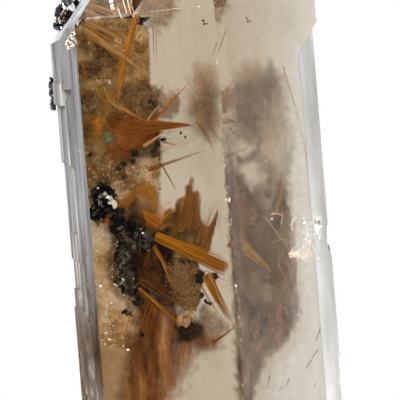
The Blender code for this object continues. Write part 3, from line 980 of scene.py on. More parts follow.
def add_floor():
    bm = bmesh.new()
    bmesh.ops.create_circle(bm, cap_ends=True, segments=96, radius=FLOOR_RADIUS)
    mesh = bpy.data.meshes.new("floor")
    bm.to_mesh(mesh)
    bm.free()
    floor = add_object("floor", mesh)
    floor.location = (0.0, 0.0, -FLOOR_DROP)
    material, _, _, shader = new_material("floor_white")
    shader.inputs["Base Color"].default_value = FLOOR_TINT
    shader.inputs["Roughness"].default_value = 0.6
    mesh.materials.append(material)


# Materials

GOLD_STOPS = [
    (0.0, (0.16, 0.060, 0.006)),
    (0.20, (0.42, 0.165, 0.010)),
    (0.5, (0.72, 0.31, 0.018)),
    (0.85, (0.88, 0.46, 0.05)),
    (1.0, (1.0, 0.80, 0.36)),
]
PALE_GOLD_STOPS = [
    (0.0, (0.36, 0.17, 0.05)),
    (0.4, (0.70, 0.42, 0.15)),
    (1.0, (0.98, 0.84, 0.54)),
]
RUST_STOPS = [
    (0.0, (0.13, 0.036, 0.006)),
    (0.35, (0.34, 0.105, 0.014)),
    (0.7, (0.56, 0.20, 0.028)),
    (1.0, (0.78, 0.40, 0.10)),
]
BROWN_STOPS = [
    (0.0, (0.16, 0.085, 0.040)),
    (0.4, (0.40, 0.23, 0.11)),
    (0.8, (0.62, 0.38, 0.18)),
    (1.0, (0.80, 0.55, 0.30)),
]
TAN_STOPS = [
    (0.0, (0.18, 0.10, 0.045)),
    (0.35, (0.48, 0.31, 0.15)),
    (0.7, (0.75, 0.54, 0.31)),
    (0.93, (0.90, 0.72, 0.48)),
    (1.0, (1.0, 0.96, 0.86)),
]
gold = needle_material("rutile_gold", GOLD_STOPS, 0.35)
pale_gold = needle_material("rutile_pale_gold", PALE_GOLD_STOPS, 0.35)
rust = needle_material("rutile_rust", RUST_STOPS, 0.45)
brown = needle_material("rutile_brown", BROWN_STOPS, 0.55)
pale_brown = needle_material(
    "rutile_streak",
    [(0.0, (0.26, 0.12, 0.035)), (0.5, (0.62, 0.33, 0.10)), (1.0, (0.88, 0.58, 0.24))],
    0.5,
)
dark_rust = needle_material(
    "rutile_dark_rust",
    [(0.0, (0.07, 0.022, 0.006)), (0.5, (0.24, 0.085, 0.018)), (1.0, (0.62, 0.30, 0.07))],
    0.5,
)
tan = needle_material("granular_tan", TAN_STOPS, 0.4)

hematite = hematite_material()
# Glint materials are painted highlights: bright tones that shine as emission
sparkle = sparkle_material(
    "fracture_glints",
    [(0.0, (0.85, 0.78, 0.66)), (0.5, (1.0, 0.97, 0.90)), (1.0, (0.88, 0.95, 1.0))],
)
cream = sparkle_material(
    "cream_glints",
    [(0.0, (0.85, 0.62, 0.42)), (0.5, (1.0, 0.88, 0.72)), (1.0, (1.0, 0.97, 0.9))],
)
coloured = sparkle_material(
    "coloured_glints",
    [(0.0, (0.75, 0.22, 0.01)), (0.6, (0.90, 0.38, 0.02)), (1.0, (0.95, 0.75, 0.15))],
)

# Crystal

crystal = crystal_body()
crystal.data.materials.clear()
crystal.data.materials.append(quartz_material())
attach(crystal, "root")
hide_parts("quartz_front", "quartz_back")

# Frosted films on the narrow faces

low_stops = [
    (0.36, (0.022, 0.012, 0.007)),
    (0.48, (0.052, 0.036, 0.026)),
    (0.58, (0.090, 0.074, 0.062)),
    (0.68, (0.24, 0.225, 0.205)),
]
left_satin = film_material(
    "satin_left",
    [
        (0.36, (0.085, 0.083, 0.081)), (0.50, (0.140, 0.142, 0.146)), (0.60, (0.21, 0.205, 0.195)),
        (0.70, (0.46, 0.43, 0.37)),
    ],
    scale=260.0, stretch=(1.6, 1.6, 0.13), low=0.86, high=1.0, gloss=0.0, foot=low_stops,
)
skin("satin_left", crystal, face_plane("left")[0], 0.03, left_satin)
skin("satin_steps", crystal, CAMERA_SIDE, 0.02, left_satin, rightmost=-13.0)
skin(
    "satin_left_end", crystal, end_plane("left")[0], 0.03,
    film_material(
        "satin_end",
        [(0.38, (0.16, 0.17, 0.19)), (0.5, (0.27, 0.29, 0.32)), (0.62, (0.50, 0.50, 0.49))],
        scale=260.0, stretch=(1.0, 1.0, 0.4), low=0.45, high=0.9,
    ),
)
skin(
    "satin_bevel", crystal, radial(BEVEL_TURN), 0.03,
    film_material(
        "satin_bevel",
        [(0.36, (0.47, 0.475, 0.465)), (0.5, (0.57, 0.575, 0.56)), (0.64, (0.68, 0.68, 0.66))],
        scale=110.0, stretch=(1.2, 1.2, 0.3), low=0.50, high=0.95, gloss=0.1,
    ),
)
skin(
    "satin_right", crystal, face_plane("right")[0], 0.03,
    film_material(
        "satin_right",
        [(0.35, (0.46, 0.44, 0.40)), (0.7, (0.60, 0.57, 0.52))],
        scale=120.0, stretch=(1.0, 1.0, 0.4), low=0.01, high=0.08,
    ),
)

# Orange-gold sprays

rng = random.Random(11)
batch = Batch()
strokes(batch, rng, [
    ([(155, 236, -1.6), (184, 249, -1.3), (229, 270, -0.9)], 150, 8, 14, 0.06, 0.9, 0.9),
    ([(158, 235, -1.0), (190, 248, -0.8), (226, 260, -0.4)], 24, 5, 8, 0.045, 0.5, 0.8),
    ([(153, 245, -1.7), (163, 262, -1.3), (174, 290, -0.9)], 22, 4, 4, 0.05, 0.4, 0.6),
    ([(206, 274, -0.9), (217, 297, -0.7), (232, 323, -0.5)], 60, 11, 6, 0.05, 0.5, 0.6),
    ([(201, 285, -0.2), (212, 305, -0.2), (226, 322, -0.1)], 8, 2, 1, 0.035, 0.2, 0.7),
    ([(208, 274, -0.2), (224, 282, -0.2), (236, 286, -0.1)], 8, 8, 16, 0.02, 0.2, 0.5),
    ([(206, 226, 0.2), (212, 210, 0.2), (218, 196, 0.1)], 12, 16, 16, 0.018, 0.4, 0.5),
    ([(138, 288, -0.3), (160, 307, -0.5), (184, 329, -0.7)], 12, 2.5, 3, 0.04, 0.3, 0.7),
    ([(137, 184, -0.6), (146, 200, -0.9), (155, 216, -1.0)], 26, 14, 12, 0.045, 0.7, 0.5),
    ([(146, 183, -0.5), (153, 198, -0.7), (161, 214, -0.8)], 18, 12, 10, 0.045, 0.7, 0.5),
    ([(143, 214, -1.2), (154, 222, -1.3), (168, 210, -1.0)], 20, 14, 10, 0.045, 0.7, 0.5),
    ([(144, 392, 1.2), (146, 382, 1.2), (148, 372, 1.2)], 7, 3, 2, 0.03, 0.3, 0.6),
    ([(160, 228, -1.2), (172, 222, -1.0), (178, 236, -0.8)], 8, 5, 4, 0.03, 0.4, 0.6),
])
spray_gold = batch.build("spray_gold", gold)
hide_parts("rutile_main")

# Red-orange needles from the black lumps

batch = Batch()
strokes(batch, rng, [
    ([(137, 190, -1.6), (122, 205, -1.8), (106, 219, -1.6)], 26, 9, 3, 0.06, 0.4),
    ([(160, 226, -1.5), (152, 222, -1.5), (147, 212, -1.3)], 30, 9, 6, 0.07, 0.5),
    ([(160, 222, -1.2), (168, 214, -1.1), (176, 208, -1.0)], 20, 8, 4, 0.06, 0.5),
    ([(92, 166, 1.0), (98, 172, 1.0), (104, 178, 1.0)], 10, 4, 2, 0.06, 0.3),
    ([(138, 14, -1.5), (131, 36, -1.3), (124, 57, -1.0), (117, 102, -0.5)], 80, 4, 7, 0.07, 0.4),
])
batch.build(
    "spray_red",
    needle_material("rutile_red", [
        (0.0, (0.20, 0.065, 0.008)), (0.5, (0.62, 0.23, 0.018)), (1.0, (0.90, 0.46, 0.09)),
    ]),
)

# Rust-brown centre with its spikes

rng = random.Random(12)
batch = Batch()
strokes(batch, rng, [
    ([(142, 127, -0.4), (166, 125.5, -0.9), (194, 125, -1.4)], 70, 13, 1, 0.07, 0.5),
    ([(154, 127, 0.0), (128, 125, 0.1), (104, 120, 0.2)], 34, 9, 22, 0.04, 1.0),
    ([(155, 128, 0.0), (130, 135, 0.2), (106, 143, 0.3)], 34, 10, 24, 0.04, 1.0),
    ([(152, 130, 0.1), (138, 143, 0.2), (126, 158, 0.3)], 26, 11, 20, 0.04, 1.0),
    ([(152, 124, -0.2), (140, 118, -0.1), (122, 108, 0.2)], 12, 6, 9, 0.035, 0.8),
    ([(152, 123, -0.2), (170, 103, -0.6), (189, 82, -1.0)], 14, 3, 0.6, 0.05, 0.3),
    ([(128, 222, -1.2), (114, 212, -1.4), (100, 206, -1.4)], 14, 10, 14, 0.03, 0.4),
    ([(160, 232, -0.8), (168, 218, -0.8), (170, 200, -0.8)], 10, 8, 8, 0.025, 0.4),
    ([(112, 218, -1.2), (104, 226, -1.4), (96, 230, -1.4)], 8, 8, 8, 0.03, 0.4),
    ([(147, 170, 0.1), (165, 164, 0.2), (205, 150, 0.2)], 16, 5, 1.5, 0.04, 0.3),
    ([(160, 150, 0.1), (180, 143, 0.2), (196, 138, 0.2)], 6, 8, 12, 0.02, 0.3),
    ([(158, 136, 0.1), (176, 134, 0.2), (190, 132, 0.2)], 7, 10, 16, 0.02, 0.3),
    ([(162, 166, 0.3), (169, 178, 0.2), (176, 190, 0.0)], 8, 2, 1, 0.045, 0.2),
    ([(163, 143, 0.0), (170, 144, 0.0), (177, 146, 0.0)], 6, 3, 2, 0.03, 0.2),
    ([(152.5, 25, 0.6), (153.5, 46, 0.5), (154.5, 70, 0.4)], 6, 1, 1, 0.03, 0.2),
    ([(156, 27, 0.6), (156.5, 46, 0.5), (157, 66, 0.4)], 5, 1, 1, 0.025, 0.2),
])
upper_rust = batch.build("upper_rust", rust)
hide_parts("rutile_upper")

# Long gold needles at the upper left

rng = random.Random(13)
batch = Batch()
strokes(batch, rng, [
    ([(84, 30, -1.4), (106, 47, -1.1), (127, 60, -1.0), (143, 72, -0.9)], 26, 5, 2, 0.045, 0.4),
    ([(85, 19, -1.6), (102, 28, -1.5), (127, 41, -1.4), (138, 48, -1.2)], 16, 5, 2, 0.04, 0.4),
    ([(84, 24, -0.6), (100, 34, -0.8), (128, 50, -0.9), (144, 60, -0.9)], 12, 4, 2, 0.035, 0.4),
    ([(98, 84, -0.4), (102, 100, -0.2), (106, 118, 0.0)], 12, 9, 9, 0.035, 0.7),
    ([(104, 92, 0.2), (116, 104, 0.1), (130, 112, 0.1), (150, 123, 0.0)], 12, 5, 3, 0.045, 0.4),
    ([(92, 112, 0.5), (98, 128, 0.4), (106, 146, 0.3)], 12, 12, 9, 0.035, 0.8),
    ([(82, 60, 0.5), (86, 74, 0.4), (86, 92, 0.3)], 10, 6, 6, 0.03, 0.8),
])
batch.build("upper_orange", gold)
batch = Batch()
strokes(batch, rng, [
    ([(84, 28, -1.8), (106, 45, -1.5), (128, 59, -1.3), (143, 71, -1.1)], 24, 5, 1.5, 0.04, 0.3),
    ([(143, 71, -1.1), (147, 78, -1.1), (151, 86, -1.1)], 3, 1, 1, 0.03, 0.2),
    ([(84, 20, -1.9), (102, 29, -1.7), (128, 42, -1.6)], 20, 6, 3, 0.035, 0.3),
    ([(86, 22, -1.9), (100, 28, -1.7), (118, 37, -1.6)], 8, 6, 4, 0.035, 0.3),
    ([(90, 32, -1.9), (106, 42, -1.7), (124, 54, -1.6)], 6, 3, 3, 0.03, 0.3),
    ([(138, 76, -0.8), (143, 80, -0.8), (148, 84, -0.8)], 3, 1, 1, 0.045, 0.1),
    ([(104, 87, -0.6), (110, 103, -0.6), (129, 112, -0.7), (149, 123, -0.8)], 6, 2, 1.5, 0.05, 0.2),
    ([(143, 146, -0.5), (153, 140, -0.6), (164, 133, -0.7)], 16, 4, 3, 0.06, 0.2),
    ([(145, 124, -0.6), (153, 112, -0.7), (163, 101, -0.9)], 10, 3, 1.5, 0.05, 0.2),
    ([(178, 126, -0.4), (184, 122, -0.4), (190, 117, -0.4)], 3, 1, 1, 0.04, 0.1),
    ([(118, 8, -12.0), (120, 14, -12.0), (122, 20, -12.0)], 3, 1, 1, 0.06, 0.1),
])
batch.build("upper_pale", pale_gold)

# Leafy fans above the large spray

rng = random.Random(14)
batch = Batch()
for line, count, root, tip, thick, deep in [
    ([(183, 232, 0.7), (188, 206, 0.4), (192, 177, 0.1)], 44, 14, 4, 0.05, 0.8),
    ([(178, 230, 0.9), (179, 212, 0.8), (180, 196, 0.6)], 34, 9, 9, 0.05, 0.8),
    ([(193, 230, 0.8), (196, 210, 0.8), (197, 190, 0.9)], 34, 10, 7, 0.05, 0.8),
    ([(203, 252, 0.5), (210, 232, 0.2), (219, 207, -0.3)], 34, 11, 2, 0.05, 0.7),
    ([(200, 244, 0.6), (203, 230, 0.5), (206, 220, 0.3)], 24, 8, 7, 0.045, 0.6),
]:
    stroke(batch, rng, "main", line, count, root, tip, thick, deep, shortest=0.6, thin=0.5)
for x in range(198, 222, 2):
    stroke(batch, rng, "main", [(x, 228, 0.3), (x + 2, 212, 0.2), (x + 5, 197, 0.1)], 2, 2, 2, 0.02, 0.4)
leaf = batch.build(
    "leaf_brown",
    needle_material("rutile_leaf", [
        (0.0, (0.12, 0.05, 0.015)), (0.45, (0.42, 0.20, 0.055)), (1.0, (0.72, 0.42, 0.14)),
    ]),
)
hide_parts("rutile_fan")

# Dark brown mass behind the sprays

batch = Batch()
strokes(batch, rng, [
    ([(141, 276, -0.6), (164, 292, -0.8), (188, 310, -0.9)], 34, 15, 9, 0.03, 0.5),
    ([(138, 290, -0.4), (158, 306, -0.5), (178, 322, -0.7)], 22, 8, 8, 0.03, 0.5),
    ([(150, 246, -0.9), (146, 262, -0.8), (140, 282, -0.7)], 20, 8, 14, 0.03, 0.5),
    ([(152, 244, -0.9), (156, 262, -0.8), (160, 282, -0.7)], 16, 8, 14, 0.03, 0.5),
    ([(120, 232, -1.6), (132, 244, -1.4), (140, 262, -1.2)], 14, 12, 14, 0.03, 0.5),
    ([(150, 232, -1.6), (160, 226, -1.4), (170, 214, -1.2)], 12, 12, 14, 0.025, 0.5),
])
batch.build("stripes_rust", dark_rust)
batch = Batch()
strokes(batch, rng, [
    ([(180, 250, 1.6), (188, 236, 1.4), (196, 222, 1.2)], 30, 20, 18, 0.06, 1.3),
    ([(146, 256, 1.8), (156, 276, 1.6), (168, 302, 1.4)], 60, 24, 26, 0.07, 1.6),
    ([(146, 250, -0.4), (150, 262, -0.4), (152, 276, -0.2)], 26, 16, 26, 0.035, 0.7),
    ([(142, 238, -1.6), (133, 240, -1.6), (124, 246, -1.4)], 20, 6, 18, 0.03, 0.5),
    ([(142, 236, -1.6), (140, 226, -1.6), (136, 218, -1.4)], 14, 6, 18, 0.03, 0.5),
    ([(143, 240, -1.6), (146, 250, -1.5), (150, 258, -1.3)], 14, 6, 18, 0.03, 0.5),
    ([(200, 278, 0.2), (206, 276, 0.1), (216, 280, 0.0)], 10, 10, 18, 0.025, 0.4),
    ([(206, 304, 0.2), (212, 302, 0.1), (220, 298, 0.0)], 8, 8, 12, 0.02, 0.4),
])
batch.build(
    "mass_dark",
    needle_material(
        "rutile_dark",
        [(0.0, (0.03, 0.014, 0.006)), (0.6, (0.10, 0.042, 0.015)), (1.0, (0.22, 0.10, 0.035))],
        0.6,
    ),
)

# Rust-brown fan that runs down out of the picture

rng = random.Random(15)
batch = Batch()
strokes(batch, rng, [
    ([(150, 296, 1.0), (143, 318, 1.4), (136, 342, 1.8)], 26, 20, 26, 0.04, 1.0),
    ([(162, 298, 2.2), (150, 320, 2.4), (134, 352, 2.6)], 24, 16, 26, 0.04, 1.2),
    ([(170, 304, 2.4), (160, 340, 2.8), (146, 400, 3.2)], 26, 14, 26, 0.04, 1.2),
    ([(176, 310, 2.6), (170, 350, 3.2), (158, 412, 3.8)], 26, 16, 30, 0.04, 1.2),
    ([(184, 322, 2.6), (184, 350, 3.0), (174, 396, 3.4)], 22, 18, 14, 0.04, 1.0),
    ([(190, 322, 2.4), (200, 340, 2.6), (212, 348, 2.6)], 24, 16, 12, 0.04, 0.9),
    ([(156, 300, 1.2), (150, 330, 1.6), (141, 360, 2.0)], 30, 10, 12, 0.05, 0.8),
    ([(211, 344, 0.6), (222, 337, 0.5), (235, 327, 0.4)], 16, 4, 1, 0.05, 0.2),
])
batch.build("fan_lower", rust)

# Granular tan block and the tan crust down the left

rng = random.Random(16)
batch = Batch()
dust(
    batch, rng, main_face(0.6),
    [(163, 262), (197, 268), (200, 290), (196, 311), (176, 306), (164, 284)],
    2600, 0.06, 0.15, 1.1,
)
dust(batch, rng, main_face(-0.6), [(122, 234), (137, 232), (139, 243), (126, 245)], 120, 0.07, 0.2, 0.5)
dust(batch, rng, main_face(0.4), [(177, 312), (192, 310), (194, 318), (178, 327)], 160, 0.06, 0.18, 0.5)
dust(
    batch, rng, back_of_left(2.4),
    [(112, 165), (135, 155), (144, 176), (138, 190), (120, 188)],
    260, 0.10, 0.26, 0.8,
)
for _ in range(70):
    x, y = rng.uniform(178, 193), rng.uniform(311, 326)
    if abs((x - 178) - (326 - y)) < 9:
        facing = Vector((rng.gauss(0, 0.4), -1.0, rng.gauss(0, 0.4)))
        batch.plate(inside("main", x, y, -0.9), facing, rng.uniform(0.15, 0.42), 0.06, rng, 5)
batch.build("grains_tan", tan)

batch = Batch()
dust(
    batch, rng, back_of_left(2.2),
    [(88, 206), (106, 214), (118, 250), (122, 300), (134, 330), (138, 351), (95, 352), (91, 280)],
    420, 0.05, 0.20, 0.8,
)
dust(
    batch, rng, back_of_left(2.4),
    [(84, 88), (98, 90), (104, 112), (90, 118), (80, 104)],
    160, 0.08, 0.22, 0.8,
)
dust(
    batch, rng, back_of_left(2.6),
    [(84, 150), (160, 150), (160, 190), (130, 196), (88, 196)],
    420, 0.06, 0.20, 0.8,
)
# The pale grains carry a painted glow, emission that brightens them beyond the lamps' light
batch.build(
    "grains_pale",
    needle_material(
        "granular_pale",
        [
            (0.0, (0.42, 0.28, 0.14)), (0.4, (0.80, 0.62, 0.40)), (0.8, (1.0, 0.90, 0.72)),
            (1.0, (1.0, 1.0, 0.96)),
        ],
        0.3, painted_glow=0.12,
    ),
)

# Brown grains in the veils

batch = Batch()
dust(
    batch, rng, back_of_left(2.6),
    [(78, 30), (148, 26), (150, 90), (161, 140), (161, 190), (92, 200), (80, 120)],
    2400, 0.06, 0.20, 1.2,
)
dust(batch, rng, main_face(1.5), [(148, 84), (180, 86), (178, 118), (150, 120)], 260, 0.05, 0.14, 0.8)
dust(batch, rng, main_face(0.5), [(150, 0), (176, 0), (172, 24), (148, 20)], 90, 0.05, 0.14, 0.8)
dust(
    batch, rng, back_of_left(3.0),
    [(72, 62), (92, 66), (109, 70), (112, 78), (92, 80), (76, 78)],
    420, 0.08, 0.22, 0.6,
)
dust(
    batch, rng, back_of_left(3.4, 2.0),
    [(116, 84), (148, 82), (160, 92), (158, 114), (136, 116), (118, 104)],
    520, 0.07, 0.2, 0.8,
)
batch.build("grains_brown", brown)

# Black lumps and knobs

rng = random.Random(17)
batch = Batch()
# Centre and radii of each lump
HEMATITE_CORE = [
    ((-11.8, -0.6, 50.7), (2.20, 1.9, 2.10)),
    ((-10.4, -0.6, 48.4), (1.90, 1.7, 1.70)),
    ((-9.2, -0.7, 46.1), (2.20, 1.9, 1.80)),
    ((-7.5, -0.7, 44.7), (1.70, 1.6, 1.50)),
    ((-5.9, -0.9, 43.6), (1.50, 1.5, 1.60)),
    ((-8.3, -0.6, 43.2), (1.40, 1.4, 1.30)),
    ((-9.2, -0.5, 41.6), (1.30, 1.3, 1.60)),
    ((-9.0, -0.3, 39.3), (1.10, 1.1, 1.40)),
    ((-8.8, -0.2, 37.2), (0.85, 0.9, 1.30)),
    ((-12.6, -0.3, 48.3), (1.10, 1.2, 1.20)),
]
for centre, radii in HEMATITE_CORE:
    plates(batch, rng, centre, radii, 60, 0.75)
    plates(batch, rng, centre, [0.8 * r for r in radii], 40, 1.2)
core = batch.build("hematite_plates", hematite)
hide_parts("hematite_core")

batch = Batch()
for centre, radii in HEMATITE_CORE[4:9]:
    plates(batch, rng, Vector(centre) - Vector((0.0, 0.6, 0.0)), [1.05 * r for r in radii], 110, 0.42)
batch.build(
    "hematite_dull",
    needle_material(
        "hematite_dull",
        [
            (0.0, (0.03, 0.024, 0.018)), (0.5, (0.095, 0.080, 0.064)), (0.85, (0.19, 0.165, 0.135)),
            (1.0, (0.50, 0.44, 0.36)),
        ],
        0.7,
    ),
)

batch = Batch()
HEMATITE_TOP = [
    ((-16.95, 1.25, 78.6), (1.20, 1.8, 1.75)),
    ((-16.05, 0.85, 80.0), (1.20, 1.6, 1.40)),
    ((-17.7, 1.35, 77.0), (0.85, 1.3, 1.10)),
]
for centre, radii in HEMATITE_TOP:
    plates(batch, rng, centre, radii, 60, 0.7)
    plates(batch, rng, centre, [0.75 * r for r in radii], 40, 1.0)
top = batch.build("hematite_top_plates", hematite)
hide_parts("hematite_top")

batch = Batch()
HEMATITE_EDGE = [
    ((-19.8, 1.3, 68.0), (0.38, 0.9, 1.20)),
    ((-19.8, 1.2, 66.5), (0.34, 0.8, 1.10)),
    ((-19.8, 1.2, 65.1), (0.36, 0.8, 1.00)),
]
for centre, radii in HEMATITE_EDGE:
    plates(batch, rng, centre, radii, 80, 0.30)
edge = batch.build("hematite_edge_plates", hematite)
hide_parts("hematite_edge")

batch = Batch()
for x, y, size in [
    (215, 277, 3.4), (200, 280, 4.0), (202, 274, 3.0), (202, 296, 2.8), (206, 302, 2.2), (210, 304, 1.8),
    (178, 339, 1.6), (139, 299, 3.6), (136, 304, 3.0), (125, 312, 2.6), (129, 314, 2.2),
    (142, 335, 2.2), (118, 279, 2.2), (115, 282, 2.0), (121, 277, 1.6), (154, 105, 2.6), (150, 101, 2.0),
    (134, 154, 3.6), (133, 160, 2.8), (153, 152, 3.0), (158, 145, 2.6), (163, 140, 2.4), (155, 147, 2.6),
    (141, 21, 3.0), (145, 19, 2.4), (90, 155, 2.0), (186, 333, 2.2), (190, 336, 1.8),
    (197, 328, 1.8), (205, 24, 1.6), (203, 21, 1.3), (181, 133, 1.4), (185, 137, 1.2), (124, 164, 2.6),
    (118, 168, 2.2),
]:
    knob(batch, rng, inside("main", x, y, -0.2), size * MM_PER_PIXEL, 10)
for _ in range(34):
    x = rng.uniform(164, 200)
    spot = inside("main", x, 258 + (x - 164) * 0.18 + rng.gauss(0, 2.2), -0.3)
    knob(batch, rng, spot, rng.uniform(0.08, 0.24), 5)
batch.build(
    "knobs_dark",
    needle_material(
        "knob_black",
        [(0.0, (0.012, 0.012, 0.012)), (0.7, (0.05, 0.045, 0.04)), (1.0, (0.12, 0.11, 0.10))],
        0.3,
    ),
)

# Veils: brown dust at the upper left, tan film at the lower left, soft clouds

# Outlines in pixels, which follow the left border of the main face
EDGE_A = [
    (94, -6), (87, 18), (80, 24), (75.5, 27), (66, 41), (71, 54), (73.5, 90), (77, 115), (80, 143),
    (82.5, 158), (85, 188),
]
EDGE_B = [(86, 200), (88, 225), (88.5, 244), (91, 263), (91.5, 278), (93, 307), (95, 345)]
# The curtain's dust carries a faint painted glow, emission that lifts its brightness
curtain = veil_material(
    "veil_curtain",
    [
        (0.38, (0.10, 0.05, 0.018)), (0.45, (0.33, 0.20, 0.08)), (0.52, (0.60, 0.42, 0.20)),
        (0.61, (0.95, 0.78, 0.50)),
    ],
    scale=250.0, cover=0.66, contrast=2.6, grain=0.30, painted_glow=0.03,
)
curtain_outline = EDGE_A[1:] + [
    (104, 196), (130, 190), (161, 176), (161, 145), (157, 100), (151, 84), (150, 32), (140, 17),
]
veil("veil_curtain", back_of_left(1.6), curtain_outline, curtain, soft=2.0, step=1.5, wobble=0.9, seed=1)
# The crumb sheet carries a painted glow, emission that brightens it beyond the lamps' light
crumbs = veil_material(
    "veil_crumbs",
    [
        (0.38, (0.16, 0.085, 0.035)), (0.46, (0.46, 0.31, 0.17)), (0.53, (0.80, 0.62, 0.42)),
        (0.62, (1.0, 0.90, 0.76)),
    ],
    scale=420.0, cover=0.9, contrast=3.2, grain=0.4, painted_glow=0.12,
)
crumbs_outline = EDGE_A[8:] + [
    (92, 222), (130, 226), (158, 228), (161, 192), (163, 150), (120, 158), (100, 146),
]
veil("veil_crumbs", back_of_left(2.4), crumbs_outline, crumbs, soft=3.0, step=1.5, wobble=0.9, seed=23)
# The tan film carries a painted glow: emission that brightens the dimly lit lower left
left_film = veil_material(
    "veil_tan",
    [
        (0.37, (0.24, 0.13, 0.045)), (0.47, (0.60, 0.39, 0.19)), (0.55, (0.88, 0.67, 0.41)),
        (0.63, (1.0, 0.92, 0.75)),
    ],
    scale=190.0, cover=0.9, contrast=3.4, grain=0.24, painted_glow=0.24,
)
tan_outline = [(86, 198), (120, 206), (126, 250), (138, 300), (146, 330), (146, 352)] + EDGE_B[::-1]
veil("veil_tan", back_of_left(1.8), tan_outline, left_film, soft=2.0, step=1.6, wobble=0.8, seed=2)
# The smooth film carries a painted glow, emission that brightens it beyond the lamps' light
smooth_film = veil_material(
    "veil_smooth",
    [(0.35, (0.58, 0.40, 0.22)), (0.5, (0.82, 0.62, 0.38)), (0.65, (1.0, 0.84, 0.60))],
    scale=120.0, cover=0.9, contrast=2.0, top=0.95, grain=0.25, painted_glow=0.10,
)
veil(
    "veil_smooth", back_of_left(2.6),
    [(94, 343), (152, 341), (152, 380), (156, 430), (166, 518), (110, 518), (103, 430), (97, 374)],
    smooth_film, soft=3.0, step=2.5, wobble=0.3, seed=3,
)

# Solid-looking grown plates: leaves, block, amber and dark patches

amber = veil_material(
    "veil_amber",
    [(0.38, (0.30, 0.14, 0.015)), (0.5, (0.62, 0.36, 0.05)), (0.62, (0.88, 0.62, 0.20))],
    scale=340.0, cover=0.25, contrast=2.6, top=0.62,
)
rust_plate = veil_material(
    "veil_rust",
    [(0.38, (0.12, 0.036, 0.006)), (0.5, (0.32, 0.105, 0.014)), (0.62, (0.58, 0.25, 0.05))],
    scale=330.0, cover=0.75, contrast=2.4, top=0.95,
)
leaf_plate = veil_material(
    "veil_leaf",
    [(0.40, (0.16, 0.062, 0.015)), (0.5, (0.46, 0.21, 0.05)), (0.60, (0.80, 0.45, 0.15))],
    scale=420.0, cover=0.85, contrast=2.4, stretch=(2.2, 1.0, 0.5), turn=(0.0, 0.35, 0.0),
)
dark_plate = veil_material(
    "veil_dark",
    [(0.38, (0.018, 0.007, 0.003)), (0.5, (0.052, 0.021, 0.007)), (0.62, (0.17, 0.075, 0.026))],
    scale=420.0, cover=0.85, contrast=2.4,
)
olive_plate = veil_material(
    "veil_olive",
    [(0.38, (0.10, 0.055, 0.02)), (0.5, (0.22, 0.135, 0.055)), (0.62, (0.40, 0.27, 0.12))],
    scale=600.0, cover=0.9, contrast=2.4,
)
block_plate = veil_material(
    "veil_block",
    [
        (0.40, (0.14, 0.065, 0.02)), (0.48, (0.40, 0.22, 0.085)), (0.54, (0.66, 0.42, 0.20)),
        (0.62, (1.0, 0.84, 0.60)),
    ],
    scale=560.0, cover=0.85, contrast=2.4, grain=0.6,
)
fan_plate = veil_material(
    "veil_fan",
    [
        (0.36, (0.11, 0.034, 0.009)), (0.46, (0.26, 0.095, 0.024)), (0.54, (0.42, 0.185, 0.055)),
        (0.64, (0.68, 0.38, 0.14)),
    ],
    scale=240.0, cover=0.60, contrast=2.2, stretch=(1.8, 1.0, 0.36), turn=(0.0, -0.22, 0.0), top=0.92,
    grain=0.18,
)
# The orange ember sheets shine with a painted glow: emission, though the inclusion is no lamp
ember = veil_material(
    "veil_ember",
    [(0.38, (0.40, 0.10, 0.008)), (0.5, (0.85, 0.26, 0.014)), (0.62, (0.95, 0.46, 0.05))],
    scale=520.0, cover=0.15, contrast=3.0, top=0.85, painted_glow=0.08,
)
shade_plate = veil_material(
    "veil_shade",
    [(0.38, (0.11, 0.055, 0.022)), (0.5, (0.26, 0.15, 0.065)), (0.62, (0.52, 0.34, 0.17))],
    scale=480.0, cover=0.25, contrast=2.8, top=0.85,
)
